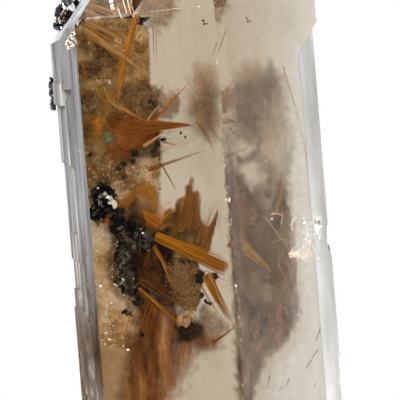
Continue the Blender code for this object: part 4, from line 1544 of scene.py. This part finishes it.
# Name, depth, softness of the edge, material and outline in pixels
for name, depth, soft, sheet, outline in [
    ("amber_a", 0.6, 6.0, amber, [
        (94, 84), (104, 78), (112, 86), (118, 108), (112, 128), (98, 124), (94, 104),
    ]),
    ("amber_b", 1.0, 8.0, amber, [(75, 72), (86, 72), (92, 84), (90, 98), (79, 100), (75, 84)]),
    ("amber_c", 1.0, 10.0, amber, [(78, 110), (96, 112), (114, 124), (116, 152), (96, 160), (82, 150)]),
    ("amber_d", 0.2, 4.0, amber, [
        (138, 180), (146, 179), (157, 186), (163, 200), (164, 214), (152, 214), (142, 198),
    ]),
    ("rust_soft", 0.9, 9.0, rust_plate, [
        (98, 112), (126, 106), (146, 114), (176, 121), (176, 130), (160, 138), (146, 152), (128, 166),
        (108, 160), (98, 140),
    ]),
    ("rust_centre", 0.5, 5.0, rust_plate, [
        (112, 120), (128, 116), (142, 120), (152, 121), (172, 123.5), (172, 127), (160, 131), (150, 136),
        (140, 147), (126, 156), (116, 150), (110, 136),
    ]),
    ("leaf_a", 1.0, 2.2, leaf_plate, [
        (174, 234), (174, 204), (178, 198), (182, 196), (186, 184), (189, 184), (191, 174), (194, 178),
        (193, 192), (197, 189), (200, 194), (201, 214), (204, 226), (196, 240), (184, 238),
    ]),
    ("leaf_b", 0.8, 2.0, leaf_plate, [
        (196, 254), (200, 232), (205, 222), (208, 226), (213, 218), (219, 205), (218, 222), (213, 236),
        (212, 250), (206, 256),
    ]),
    ("dark_a", 0.7, 3.0, olive_plate, [
        (172, 226), (180, 228), (190, 223), (203, 226), (207, 248), (198, 254), (182, 246), (172, 240),
    ]),
    ("olive", 0.6, 2.5, olive_plate, [
        (163, 210), (170, 206), (177, 210), (180, 236), (172, 242), (162, 232),
    ]),
    ("core_shade", 1.0, 8.0, dark_plate, [
        (112, 222), (130, 210), (152, 214), (172, 232), (176, 250), (170, 280), (150, 300), (130, 300),
        (118, 270), (110, 244),
    ]),
    ("core_dust", 1.4, 9.0, shade_plate, [
        (94, 196), (120, 194), (150, 200), (184, 226), (186, 262), (160, 310), (126, 316), (108, 290),
        (104, 244),
    ]),
    ("ember", -0.9, 5.0, ember, [
        (141, 203), (150, 210), (160, 205), (170, 198), (166, 214), (158, 232), (148, 232), (142, 220),
    ]),
    ("ember_side", -0.9, 4.0, ember, [
        (96, 212), (112, 216), (124, 204), (138, 190), (140, 196), (126, 212), (110, 226), (98, 222),
    ]),
    ("dark_b", -0.2, 5.0, dark_plate, [
        (140, 254), (156, 250), (166, 264), (176, 296), (182, 314), (162, 306), (146, 292), (138, 276),
    ]),
    ("dark_e", 1.6, 2.0, dark_plate, [
        (152, 222), (166, 232), (180, 238), (196, 246), (206, 256), (190, 258), (170, 250), (156, 242),
    ]),
    ("dark_c", 1.2, 3.0, dark_plate, [(196, 268), (206, 270), (205, 282), (201, 292), (196, 284)]),
    ("dark_d", 0.8, 6.0, dark_plate, [
        (174, 326), (190, 318), (203, 322), (205, 338), (192, 346), (176, 344),
    ]),
    ("block", 1.4, 2.0, block_plate, [
        (158, 250), (164, 244), (180, 252), (200, 262), (201, 288), (202, 302), (196, 312), (186, 311),
        (176, 304), (170, 290), (163, 272),
    ]),
    ("fan_back", 1.3, 18.0, fan_plate, [
        (138, 292), (166, 284), (194, 306), (210, 330), (230, 348), (210, 356), (200, 366), (188, 390),
        (178, 412), (174, 440), (112, 440), (116, 360), (124, 326),
    ]),
]:
    veil(
        "plate_" + name, back_of_left(3.5 - 0.2 * depth, depth), outline, sheet, soft=soft, step=1.4,
        wobble=0.4, seed=len(outline),
    )

cloud = veil_material(
    "veil_cloud",
    [(0.38, (0.20, 0.125, 0.07)), (0.5, (0.38, 0.25, 0.15)), (0.62, (0.60, 0.44, 0.29))],
    scale=300.0, cover=0.42, contrast=2.4, top=0.6,
)
for n, (depth, outline) in enumerate([
    (0.4, [(186, 88), (196, 62), (216, 66), (222, 90), (220, 128), (200, 140), (184, 128), (180, 104)]),
    (1.6, [(180, 96), (194, 60), (214, 58), (224, 84), (222, 136), (202, 152), (190, 132)]),
    (2.8, [(190, 84), (204, 64), (220, 74), (226, 110), (218, 144), (198, 136), (186, 112)]),
]):
    veil("veil_cloud_%d" % n, main_face(depth), outline, cloud, soft=14.0, step=3.0, wobble=0.8, seed=4 + n)
shade_dark = veil_material(
    "veil_shade_dark",
    [(0.38, (0.05, 0.020, 0.008)), (0.5, (0.14, 0.062, 0.025)), (0.62, (0.34, 0.19, 0.09))],
    scale=420.0, cover=0.22, contrast=3.4, top=0.88, grain=0.5,
)
smoke = veil_material(
    "veil_smoke",
    [(0.36, (0.14, 0.07, 0.03)), (0.5, (0.32, 0.175, 0.08)), (0.64, (0.54, 0.34, 0.17))],
    scale=260.0, cover=0.5, contrast=2.2, top=0.8,
)
mottle = veil_material(
    "veil_mottle",
    [(0.38, (0.07, 0.036, 0.018)), (0.5, (0.22, 0.125, 0.065)), (0.62, (0.50, 0.34, 0.20))],
    scale=520.0, cover=-0.05, contrast=3.6, top=0.85, grain=0.5,
)
for name, outline in [
    ("patch_red", [(72, 60), (84, 58), (100, 62), (112, 66), (112, 76), (96, 78), (84, 74), (74, 76)]),
    ("patch_left", [(78, 92), (90, 86), (100, 94), (102, 112), (94, 120), (84, 112), (78, 104)]),
    ("patch_mottle", [
        (118, 86), (134, 78), (152, 80), (162, 92), (160, 112), (146, 118), (130, 114), (118, 104),
    ]),
    ("patch_knob", [(144, 94), (156, 92), (162, 104), (156, 116), (146, 112)]),
    ("patch_low", [(132, 140), (150, 138), (166, 142), (160, 158), (146, 164), (130, 158)]),
]:
    tone = mottle if name == "patch_mottle" else shade_dark
    veil(
        "veil_" + name, back_of_left(3.0, 0.9), outline, tone, soft=6.0, step=1.6, wobble=0.4,
        seed=len(outline) + 40,
    )
veil(
    "veil_top", main_face(0.8),
    [(130, -14), (180, -14), (182, 12), (172, 30), (160, 34), (140, 28)],
    smoke, soft=9.0, step=2.4, wobble=0.6, seed=8,
)
veil(
    "veil_low", main_face(2.2),
    [(196, 306), (206, 300), (224, 318), (234, 328), (226, 336), (220, 350), (198, 356), (188, 336)],
    smoke, soft=7.0, step=2.5, wobble=0.6, seed=9,
)
veil(
    "veil_tufts", main_face(1.8),
    [(148, 86), (158, 84), (168, 92), (182, 90), (180, 112), (170, 120), (152, 122)],
    smoke, soft=4.0, step=2.0, wobble=0.6, seed=10,
)

faint = veil_material(
    "veil_faint",
    [(0.40, (0.28, 0.19, 0.11)), (0.5, (0.44, 0.33, 0.22)), (0.60, (0.70, 0.60, 0.48))],
    scale=140.0, cover=-0.25, contrast=2.4, stretch=(1.0, 1.0, 0.6), turn=(0.0, 0.5, 0.0), top=0.36,
    grain=0.3,
)
veil(
    "veil_faint_main", main_face(3.4),
    [
        (150, -10), (222, -10), (226, 100), (236, 300), (244, 420), (172, 420), (196, 300), (200, 180),
        (160, 170), (152, 60),
    ],
    faint, soft=8.0, step=3.0, wobble=0.8, seed=51,
)
veil(
    "veil_faint_right", right_face(1.4),
    [
        (224, -10), (300, -10), (302, 60), (298, 150), (296, 260), (310, 330), (318, 404), (250, 404),
        (234, 280), (228, 150),
    ],
    faint, soft=8.0, step=3.0, wobble=0.2, seed=52,
)

# Needles of the soft cloud

rng = random.Random(18)
batch = Batch()
centre = inside("main", 204, 98, 1.6)
for _ in range(420):
    spot = centre + scatter(rng, (1.15, 1.2, 2.3))
    way = Vector((rng.gauss(0, 0.35), rng.gauss(0, 0.4), rng.choice((-1.0, 1.0)))).normalized()
    away = (spot - centre).normalized()
    batch.needle([spot, spot + (way * 0.6 + away * 0.7) * rng.uniform(0.4, 1.2)], 0.022, 0.008, 3)
strokes(batch, rng, [
    ([(196, 120, 1.2), (208, 140, 0.9), (220, 160, 0.6)], 10, 6, 3, 0.035, 0.4),
    ([(204, 118, 1.4), (214, 134, 1.2), (226, 150, 1.0)], 8, 8, 5, 0.03, 0.5),
])
cloud_needles = batch.build("cloud_brown", brown)
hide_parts("rutile_cloud")

# Brown mass under the right-hand face

rng = random.Random(19)
batch = Batch()
for line, count, root, tip, thick, deep in [
    ([(9.2, 0.3, 35.0), (9.2, 0.2, 44.0), (9.3, 0.0, 53.5)], 70, 2.4, 1.4, 0.04, 1.6),
    ([(9.6, 0.0, 43.0), (10.4, -0.8, 46.5), (11.2, -1.6, 50.0)], 50, 1.4, 0.8, 0.06, 1.2),
    ([(9.2, 0.3, 45.0), (9.4, 0.3, 35.0), (8.6, 0.6, 25.8)], 80, 2.0, 2.2, 0.04, 1.8),
    ([(9.8, 0.2, 40.0), (9.9, 0.0, 35.0), (11.2, -1.0, 29.0)], 60, 1.2, 1.0, 0.06, 1.2),
    ([(9.5, 0.6, 36.0), (9.6, 1.0, 37.0), (10.6, 5.2, 39.5)], 40, 1.2, 0.8, 0.06, 0.8),
]:
    bundle(batch, rng, line, count, (root * 0.5, deep * 0.5, 0.6), (tip * 0.5, deep * 0.5, 0.6), thick)
side = batch.build("side_brown", brown)
batch = Batch()
for line, count, root, tip, thick in [
    ([(234, 240), (252, 253), (272, 272)], 60, 15, 3, 0.035),
    ([(246, 332), (250, 324), (254, 315)], 5, 9, 6, 0.018),
    ([(258, 352), (262, 340), (267, 327)], 8, 7, 5, 0.018),
    ([(284, 262), (292, 284), (300, 308)], 14, 16, 8, 0.020),
    ([(271, 330), (276, 334), (284, 336)], 4, 8, 8, 0.015),
    ([(276, 214), (282, 196), (284, 170)], 12, 6, 2, 0.025),
]:
    for _ in range(count):
        side_step = rng.uniform(-0.5, 0.5)
        share = rng.uniform(0.5, 1.0)
        (ax, ay), (mx, my), (bx, by) = line
        depth = rng.uniform(0.8, 1.5)
        path = []
        for t in (0.0, 0.5 * share, share):
            spread = (root + (tip - root) * t) * side_step
            x = ax + (bx - ax) * t + (mx - (ax + bx) / 2) * 4 * t * (1 - t) * 0.5
            y = ay + (by - ay) * t + (my - (ay + by) / 2) * 4 * t * (1 - t) * 0.5
            across = Vector((by - ay, -(bx - ax))).normalized()
            path.append(under("right", x + across.x * spread, y + across.y * spread, depth))
        batch.needle(path, thick * rng.uniform(0.6, 1.4), thick * 0.3, 3)
batch.build("side_streaks", pale_brown)
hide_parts("rutile_side")

side_veil = veil_material(
    "veil_side",
    [
        (0.38, (0.08, 0.042, 0.018)), (0.48, (0.20, 0.11, 0.045)), (0.56, (0.36, 0.21, 0.09)),
        (0.66, (0.66, 0.42, 0.18)),
    ],
    scale=210.0, cover=0.55, contrast=2.6, stretch=(1.2, 1.2, 0.85), turn=(0.0, 0.4, 0.0), top=0.88,
    grain=0.2,
)
side_red = veil_material(
    "veil_side_red",
    [(0.38, (0.12, 0.056, 0.034)), (0.5, (0.23, 0.125, 0.080)), (0.62, (0.38, 0.24, 0.16))],
    scale=260.0, cover=0.50, contrast=2.4, stretch=(1.2, 1.2, 0.6), top=0.74, grain=0.3,
)
for name, outline in [
    ("low_right", [(274, 296), (290, 302), (299, 312), (294, 330), (284, 350), (274, 350), (270, 326)]),
    ("tail", [(240, 340), (254, 348), (262, 356), (254, 384), (250, 402), (243, 402)]),
    ("left_warm", [(232, 196), (246, 190), (258, 204), (262, 226), (246, 240), (234, 226)]),
]:
    veil(
        "veil_" + name, right_face(1.1), outline, side_red, soft=6.0, step=1.8, wobble=0.15,
        seed=len(outline) + 80,
    )
for n, (depth, outline) in enumerate([
    (2.2, [
        (234, 200), (250, 196), (270, 204), (288, 214), (292, 250), (300, 300), (294, 316), (288, 342),
        (270, 354), (262, 372), (250, 400), (246, 400), (238, 300),
    ]),
    (3.0, [
        (236, 230), (256, 212), (282, 230), (290, 270), (298, 304), (286, 334), (276, 346), (262, 350),
        (250, 380), (243, 330),
    ]),
    (2.6, [
        (238, 296), (262, 304), (290, 296), (306, 306), (298, 322), (284, 348), (272, 356), (262, 376),
        (252, 404), (240, 404),
    ]),
]):
    veil(
        "veil_side_%d" % n, right_face(depth), outline, side_veil, soft=9.0, step=3.0, wobble=0.3,
        seed=12 + n,
    )
haze = veil_material(
    "veil_haze",
    [(0.40, (0.12, 0.068, 0.038)), (0.5, (0.27, 0.17, 0.105)), (0.60, (0.46, 0.33, 0.21))],
    scale=150.0, cover=0.36, contrast=2.8, stretch=(1.2, 1.2, 0.7), turn=(0.0, 0.3, 0.0), top=0.70,
    grain=0.12,
)
# Clear windows in the mass
windows = [
    [(232, 143), (240, 141), (255, 145), (254, 155), (242, 159), (233, 155)],
    [(244, 160), (252, 157), (262, 165), (265, 182), (254, 188), (246, 186), (240, 171)],
]
haze_outline = [
    (230, 60), (250, 66), (274, 54), (290, 84), (298, 140), (294, 190), (296, 260), (306, 304), (296, 326),
    (284, 352), (270, 358), (258, 384), (250, 404), (242, 404), (238, 330), (234, 250), (231, 190),
    (228, 120),
]
veil(
    "veil_side_haze", right_face(2.0), haze_outline, haze, soft=10.0, step=2.5, wobble=0.3, seed=17,
    holes=windows,
)
edge_outline = [
    (221, 116), (225, 190), (230, 234), (234, 279), (240, 349), (244, 404), (258, 404), (252, 350),
    (248, 290), (244, 240), (240, 200), (236, 160), (232, 110),
]
veil(
    "veil_side_edge", right_face(0.5), edge_outline, haze, soft=5.0, step=1.6, wobble=0.1, seed=18,
    holes=windows,
)
edge_haze = veil_material(
    "veil_edge_haze",
    [(0.40, (0.09, 0.050, 0.030)), (0.5, (0.19, 0.115, 0.072)), (0.60, (0.33, 0.22, 0.15))],
    scale=200.0, cover=0.40, contrast=2.4, stretch=(1.2, 1.2, 0.7), top=0.80, grain=0.2,
)
rim_outline = [
    (224, 128), (226, 180), (230, 220), (233, 262), (237.5, 320), (243, 404), (254, 404), (250, 350),
    (252, 300), (246, 272), (242, 240), (237, 200), (234, 160), (230, 136),
]
veil("veil_rim_dark", right_face(0.45), rim_outline, edge_haze, soft=2.5, step=1.2, wobble=0.05, seed=71)
milky = veil_material(
    "veil_milky",
    [(0.36, (0.66, 0.67, 0.66)), (0.5, (0.78, 0.79, 0.78)), (0.64, (0.92, 0.93, 0.92))],
    scale=90.0, cover=0.35, contrast=1.3, stretch=(1.2, 1.2, 0.3), top=0.42, grain=0.1,
)
milky_outline = [
    (276, 30), (350, 30), (370, 420), (240, 420), (262, 372), (286, 330), (286, 250), (282, 190), (276, 110),
]
veil(
    "veil_milky", right_face(0.35), milky_outline, milky, soft=24.0, step=1.6, wobble=0.04, seed=19,
    keep=left_of_bevel,
)
deep_haze = veil_material(
    "veil_deep_haze",
    [(0.40, (0.06, 0.032, 0.018)), (0.5, (0.14, 0.084, 0.050)), (0.60, (0.32, 0.21, 0.13))],
    scale=260.0, cover=0.32, contrast=3.0, stretch=(1.2, 1.2, 0.8), turn=(0.0, 0.3, 0.0), top=0.86, grain=0.2,
)
# Name, depth, softness of the edge and outline in pixels
for name, depth, soft, outline in [
    ("crescent", 1.9, 4.0, [
        (233, 152), (244, 158), (254, 148), (258, 134), (263, 136), (262, 152), (254, 162), (242, 166),
        (234, 162),
    ]),
    ("band", 1.9, 5.0, [
        (229, 120), (236, 140), (232, 150), (234, 166), (242, 176), (250, 190), (262, 192), (258, 210),
        (236, 212), (229, 190),
    ]),
    ("spike_a", 1.6, 3.0, [
        (266, 212), (276, 190), (284, 165), (284, 182), (287, 178), (287, 196), (284, 216),
    ]),
    ("spike_b", 1.8, 3.0, [(262, 196), (268, 176), (273, 164), (273, 184), (272, 204)]),
    ("edge_dark", 0.5, 4.0, [
        (228, 204), (236, 206), (241, 232), (246, 262), (244, 290), (238, 292), (233, 250),
    ]),
    ("knot", 1.5, 6.0, [(268, 214), (282, 214), (286, 232), (276, 242), (266, 232)]),
    ("low_dark", 1.3, 5.0, [
        (240, 262), (248, 268), (253, 288), (262, 302), (256, 316), (244, 320), (240, 290),
    ]),
    ("low_mass", 1.4, 6.0, [
        (244, 304), (262, 300), (276, 304), (274, 322), (262, 340), (252, 346), (244, 336),
    ]),
    ("low_cross", 1.2, 3.0, [(247, 336), (256, 326), (268, 312), (272, 316), (264, 330), (252, 342)]),
    ("low_spot", 1.2, 3.0, [(256, 362), (262, 364), (261, 378), (256, 376)]),
    ("top_knot", 1.7, 9.0, [(232, 84), (250, 78), (262, 92), (262, 120), (256, 142), (244, 138), (234, 120)]),
]:
    veil(
        "veil_" + name, right_face(depth), outline, deep_haze, soft=soft, step=1.8, wobble=0.15,
        seed=len(outline) + 60,
    )
veil(
    "veil_side_top", right_face(2.6),
    [(226, 66), (250, 76), (272, 60), (284, 96), (280, 140), (262, 150), (240, 140), (228, 150)],
    haze, soft=14.0, step=3.0, wobble=0.3, seed=15, holes=windows,
)
veil(
    "veil_side_mid", right_face(2.8),
    [(232, 164), (244, 172), (252, 188), (270, 176), (286, 170), (290, 214), (236, 214)],
    haze, soft=9.0, step=2.5, wobble=0.3, seed=16, holes=windows,
)

# Fracture at the right edge: bright curved flakes, and glints through the crystal, painted highlights whose
# tone shines as emission

rng = random.Random(20)
batch = Batch()
arc(batch, [(271, 214), (277, 213.5), (283, 215), (282, 220), (281, 225)], 1.2, 0.07)
arc(batch, [(295, 218), (292.5, 221), (291, 226), (293, 231)], 1.0, 0.20)
arc(batch, [(290, 203), (293, 201), (296, 203), (295, 206), (292, 206.5)], 1.0, 0.07)
arc(batch, [(293.5, 208), (294.5, 210), (293.5, 213)], 1.0, 0.08)
arc(batch, [(298, 232), (301, 231), (305, 232.5)], 0.8, 0.07)
arc(batch, [(265, 217), (278, 234), (291, 252)], 1.2, 0.035)
for x, y, size in [
    (272, 219, 0.30), (266, 161, 0.20), (272, 149, 0.10), (281, 235, 0.12), (298, 270, 0.14),
    (298.5, 315, 0.24), (298.5, 311, 0.14), (302, 51, 0.20), (250, 224, 0.14), (254, 224, 0.12),
    (268, 277, 0.12), (304, 248, 0.16), (297, 262, 0.10), (299, 274, 0.10), (296, 268, 0.08),
]:
    batch.grain(under("right", x, y, 0.6), size, rng)
for _ in range(110):
    x, y = rng.gauss(312, 7.0), rng.gauss(234, 12.0)
    if x < 323:
        facing = Vector((rng.gauss(0.6, 0.6), rng.gauss(-1, 0.5), rng.gauss(0, 0.8)))
        spot = under("right", x, y, rng.uniform(0.08, 0.4))
        batch.plate(spot, facing, rng.uniform(0.04, 0.18), 0.03, rng, 4)
for _ in range(90):
    x, y = rng.gauss(314, 6.0), rng.gauss(232, 11.0)
    lean = rng.choice((-0.6, -0.35, 0.1, 0.5))
    reach = rng.uniform(1.5, 6.5)
    if x < 321 and x + lean * reach < 323:
        start = under("right", x, y, 0.2)
        end = under("right", x + lean * reach, y + reach, 0.3)
        batch.needle([start, start.lerp(end, 0.5) + Vector((0.0, -0.02, 0.0)), end], 0.022, 0.010, 3)
for x, y, size in [
    (109, 82, 0.34), (111, 83, 0.22), (89, 43, 0.22), (103, 41, 0.16), (124, 51, 0.16), (123, 113, 0.14),
    (126, 116, 0.12), (106, 306, 0.30), (106, 312, 0.24), (106, 322, 0.22), (107, 333, 0.26),
    (123, 346, 0.26), (128, 350, 0.26), (124, 295, 0.18), (130, 275, 0.14), (88, 326, 0.2), (111, 340, 0.14),
]:
    batch.grain(inside("main", x, y, -1.4), size, rng)
for _ in range(260):
    x, y = rng.uniform(90, 118), rng.uniform(212, 350)
    if fractal.noise(Vector((x * 0.12, y * 0.06, 9.0))) > -0.05:
        spot = inside("main", x, y, rng.uniform(-0.4, 0.6))
        facing = Vector((rng.gauss(0, 0.7), -1.0, rng.gauss(0, 0.7)))
        batch.plate(spot, facing, rng.uniform(0.05, 0.22), 0.03, rng, 4)
for x, y, size in [
    (105, 194, 0.34), (108, 197, 0.30), (111, 199, 0.52), (113.5, 203, 0.60), (115, 207, 0.42),
    (109, 203, 0.26), (141, 229, 0.16), (143, 233, 0.2), (147, 238, 0.12), (98, 188, 0.20),
]:
    facing = Vector((rng.gauss(0.1, 0.25), -1.0, rng.gauss(0.2, 0.25)))
    batch.plate(inside("main", x, y, -2.7), facing, size, 0.05, rng, 7)
# White glowing grains and plates at the fracture, on the black lumps and across the tan crust are painted
# highlights
batch.build("glints_white", sparkle)

batch = Batch()
for _ in range(90):
    x = rng.uniform(289, 311)
    y = 254 - (x - 300) * 0.02 + rng.gauss(0, 1.6)
    spot = under("right", x, y, rng.uniform(0.4, 1.4))
    facing = Vector((rng.gauss(0.6, 0.5), -1.0, rng.gauss(0.3, 0.6)))
    batch.plate(spot, facing, rng.uniform(0.1, 0.4), 0.04, rng)
arc(batch, [(292, 249), (297, 246), (303, 245), (308, 248)], 0.8, 0.06)
arc(batch, [(290, 252), (298, 255), (308, 255)], 0.8, 0.10)
batch.build("glints_cream", cream)

batch = Batch()
for x, y, size in [(311, 250, 0.34), (265, 2, 0.14), (270, 1, 0.12)]:
    batch.grain(under("right", x, y, 0.6), size, rng)
batch.build("glints_coloured", coloured)
# The orange spot carries a painted glow, emission on its own colour
spot_orange = veil_material(
    "spot_orange",
    [(0.4, (0.55, 0.12, 0.01)), (0.5, (0.85, 0.30, 0.02)), (0.6, (0.95, 0.58, 0.06))],
    scale=900.0, cover=0.5, contrast=2.0, top=0.8, painted_glow=0.06,
)
veil(
    "spot_orange", main_face(-0.5),
    [(91, 117), (102, 115), (106, 126), (105, 138), (95, 139), (90, 128)],
    spot_orange, soft=6.5, step=0.8, wobble=0.2, seed=31,
)
# The teal spot carries a painted glow, emission on its own colour
spot_teal = veil_material(
    "spot_teal",
    [(0.4, (0.20, 0.26, 0.10)), (0.5, (0.24, 0.40, 0.26)), (0.6, (0.30, 0.50, 0.46))],
    scale=900.0, cover=0.6, contrast=2.0, top=0.75, painted_glow=0.05,
)
veil(
    "spot_teal", main_face(-0.5),
    [(101, 127), (110, 129), (116, 138), (113, 147), (103, 146), (99, 136)],
    spot_teal, soft=7.0, step=0.8, wobble=0.2, seed=32,
)

# Whitish patch at the broken edge: frost of the fracture with a painted glare, its pale colour shining as
# emission like a highlight
frost_and_glare = veil_material(
    "fracture_frost_and_glare",
    [(0.38, (0.50, 0.53, 0.54)), (0.5, (0.72, 0.74, 0.74)), (0.62, (0.95, 0.95, 0.92))],
    scale=420.0, cover=0.2, contrast=2.8, top=0.85, grain=0.5, painted_glow=0.25,
)
frost_and_glare_outline = [
    (301, 214), (312, 205), (321, 210), (325, 226), (324, 242), (321, 258), (302, 259), (291, 252),
    (302, 238),
]
veil("fracture_frost_and_glare", right_face(0.8), frost_and_glare_outline, frost_and_glare, soft=7.0, step=1.4, wobble=0.25, seed=21)

# Details on the outside, at the upper left

rng = random.Random(21)
broken = Batch()
corner = [(75, 25), (81, 44), (67, 51), (65, 41)]
made = 0
while made < 260:
    x, y = rng.uniform(64, 82), rng.uniform(25, 52)
    floor_point = chip_floor(x, y, CORNER_CHIPS)
    if inside_edge(corner, x, y) > 0.5 and floor_point:
        broken.grain(floor_point, rng.uniform(0.08, 0.22), rng)
        made += 1
# The crumbs are dark grains with a painted glow: their tone shines as emission, and the palest ones are
# painted glints
broken.build(
    "corner_crumbs",
    sparkle_material(
        "crumbs",
        [
            (0.0, (0.04, 0.025, 0.015)), (0.45, (0.20, 0.15, 0.11)), (0.78, (0.46, 0.41, 0.35)),
            (1.0, (1.0, 0.98, 0.94)),
        ],
        0.35,
    ),
)

batch = Batch()
end_main = end_plane("main")
for x, y, size in [(111, 2, 0.42), (112, 6, 0.40), (113, 9, 0.30), (110, -2, 0.45)]:
    batch.plate(on_plane(end_main, x, y, 0.06), end_main[0], size, 0.12, rng, 5)
for (ax, ay), (bx, by) in [
    ((118, 9), (122, 19)), ((123, 0), (127, 14)), ((127, -2), (131, 14)), ((131, -2), (134, 14)),
]:
    batch.needle([on_plane(end_main, ax, ay, 0.06), on_plane(end_main, bx, by, 0.06)], 0.07, 0.04, 4)
batch.needle([on_lump(58, 20, 0.3), on_lump(62, 13, -0.35), on_lump(66, 7, -0.7)], 0.08, 0.05, 4)
# The cream plates and lines shine with a painted glow, emission on their own pale colour
batch.build("end_chips", cream)
batch = Batch()
batch.grain(on_plane(end_main, 113, 10, 0.10), 0.22, rng)
for x, y, front, size in [(64, 18, -0.35, 0.20), (65.5, 13, -0.55, 0.16), (61, 23, 0.0, 0.12)]:
    batch.grain(on_lump(x, y, front), size, rng)
batch.build(
    "end_specks",
    needle_material("red_specks", [
        (0.0, (0.30, 0.02, 0.01)), (0.5, (0.55, 0.12, 0.02)), (1.0, (0.80, 0.30, 0.04)),
    ]),
)

rim_film = veil_material(
    "rim_film",
    [(0.4, (0.14, 0.10, 0.07)), (0.5, (0.26, 0.21, 0.17)), (0.6, (0.48, 0.43, 0.37))],
    scale=600.0, cover=0.3, contrast=2.4, top=0.60,
)
rim = [(86, 17), (110, 14.8), (135, 13), (135, 16.6), (110, 18.2), (86, 20.4)]
veil(
    "rim_frost", lambda x, y: on_plane(face_plane("main", 0.10), x, y), rim, rim_film, soft=1.6, step=0.6,
    wobble=0.0, seed=33,
)

# Pale scratches down the left face and specks along the front edges, which shine with a painted glow

batch = Batch()
left_plane = face_plane("left")
for points in [
    [(74, 295), (88, 309)], [(73, 300), (86, 313)], [(75, 290), (84, 299)], [(73, 369), (80, 378), (87, 383)],
    [(71, 320), (84, 334)], [(56, 113), (66, 116), (76, 122)], [(62, 145), (71, 147), (81, 152)],
    [(50, 41), (66, 41)], [(68, 60), (72, 118), (79, 176)], [(60, 56), (64, 120), (68, 160)],
    [(76, 250), (82, 262)], [(70, 352), (76, 366), (74, 372)],
]:
    scratch(batch, left_plane, points)
for _ in range(46):
    x = rng.uniform(72, 88)
    y = rng.uniform(270, 400)
    scratch(batch, left_plane, [(x, y), (x + rng.uniform(3, 9), y + rng.uniform(4, 10))], 0.018)
for x, y in [
    (227, 190), (228, 196), (226.5, 200), (236, 283), (236.5, 289), (241, 343), (243, 385), (225, 168),
    (232, 222), (217, 62), (239, 316),
]:
    for _ in range(5):
        spot = on_plane(face_plane("main"), x + rng.gauss(-0.6, 0.6), y + rng.gauss(0, 2.0))
        batch.grain(spot, rng.uniform(0.04, 0.11), rng)
batch.build("scratches_light", cream)

# Fine brown lines and dark dashes

batch = Batch()
for line in [
    [(283, 66), (294, 102), (303, 140), (310, 171)],
    [(284, 70), (293, 100), (302, 136), (308, 166)],
    [(226, 30), (222, 42), (217, 54)],
]:
    arc(batch, line, 1.6, 0.07)
for (ax, ay), (bx, by), depth in [
    ((321, 327), (315, 342), 0.15), ((318, 350), (312, 358), 0.15), ((312, 360), (306, 368), 0.15),
    ((270, 376), (267, 388), 0.15), ((282, 386), (278.5, 392), 0.15), ((289, 379), (287, 385), 0.15),
    ((316, 383), (314, 387), 0.15), ((262, 362), (258, 372), 0.15),
]:
    arc(batch, [(ax, ay), ((ax + bx) / 2, (ay + by) / 2), (bx, by)], depth, 0.075)
batch.build("dashes_dark", dark_rust)

add_camera()
add_world()
add_floor()
add_lights()

scene = bpy.context.scene
scene.view_settings.view_transform = "Standard"
scene.cycles.max_bounces = 16
scene.cycles.transmission_bounces = 16
scene.cycles.transparent_max_bounces = 32
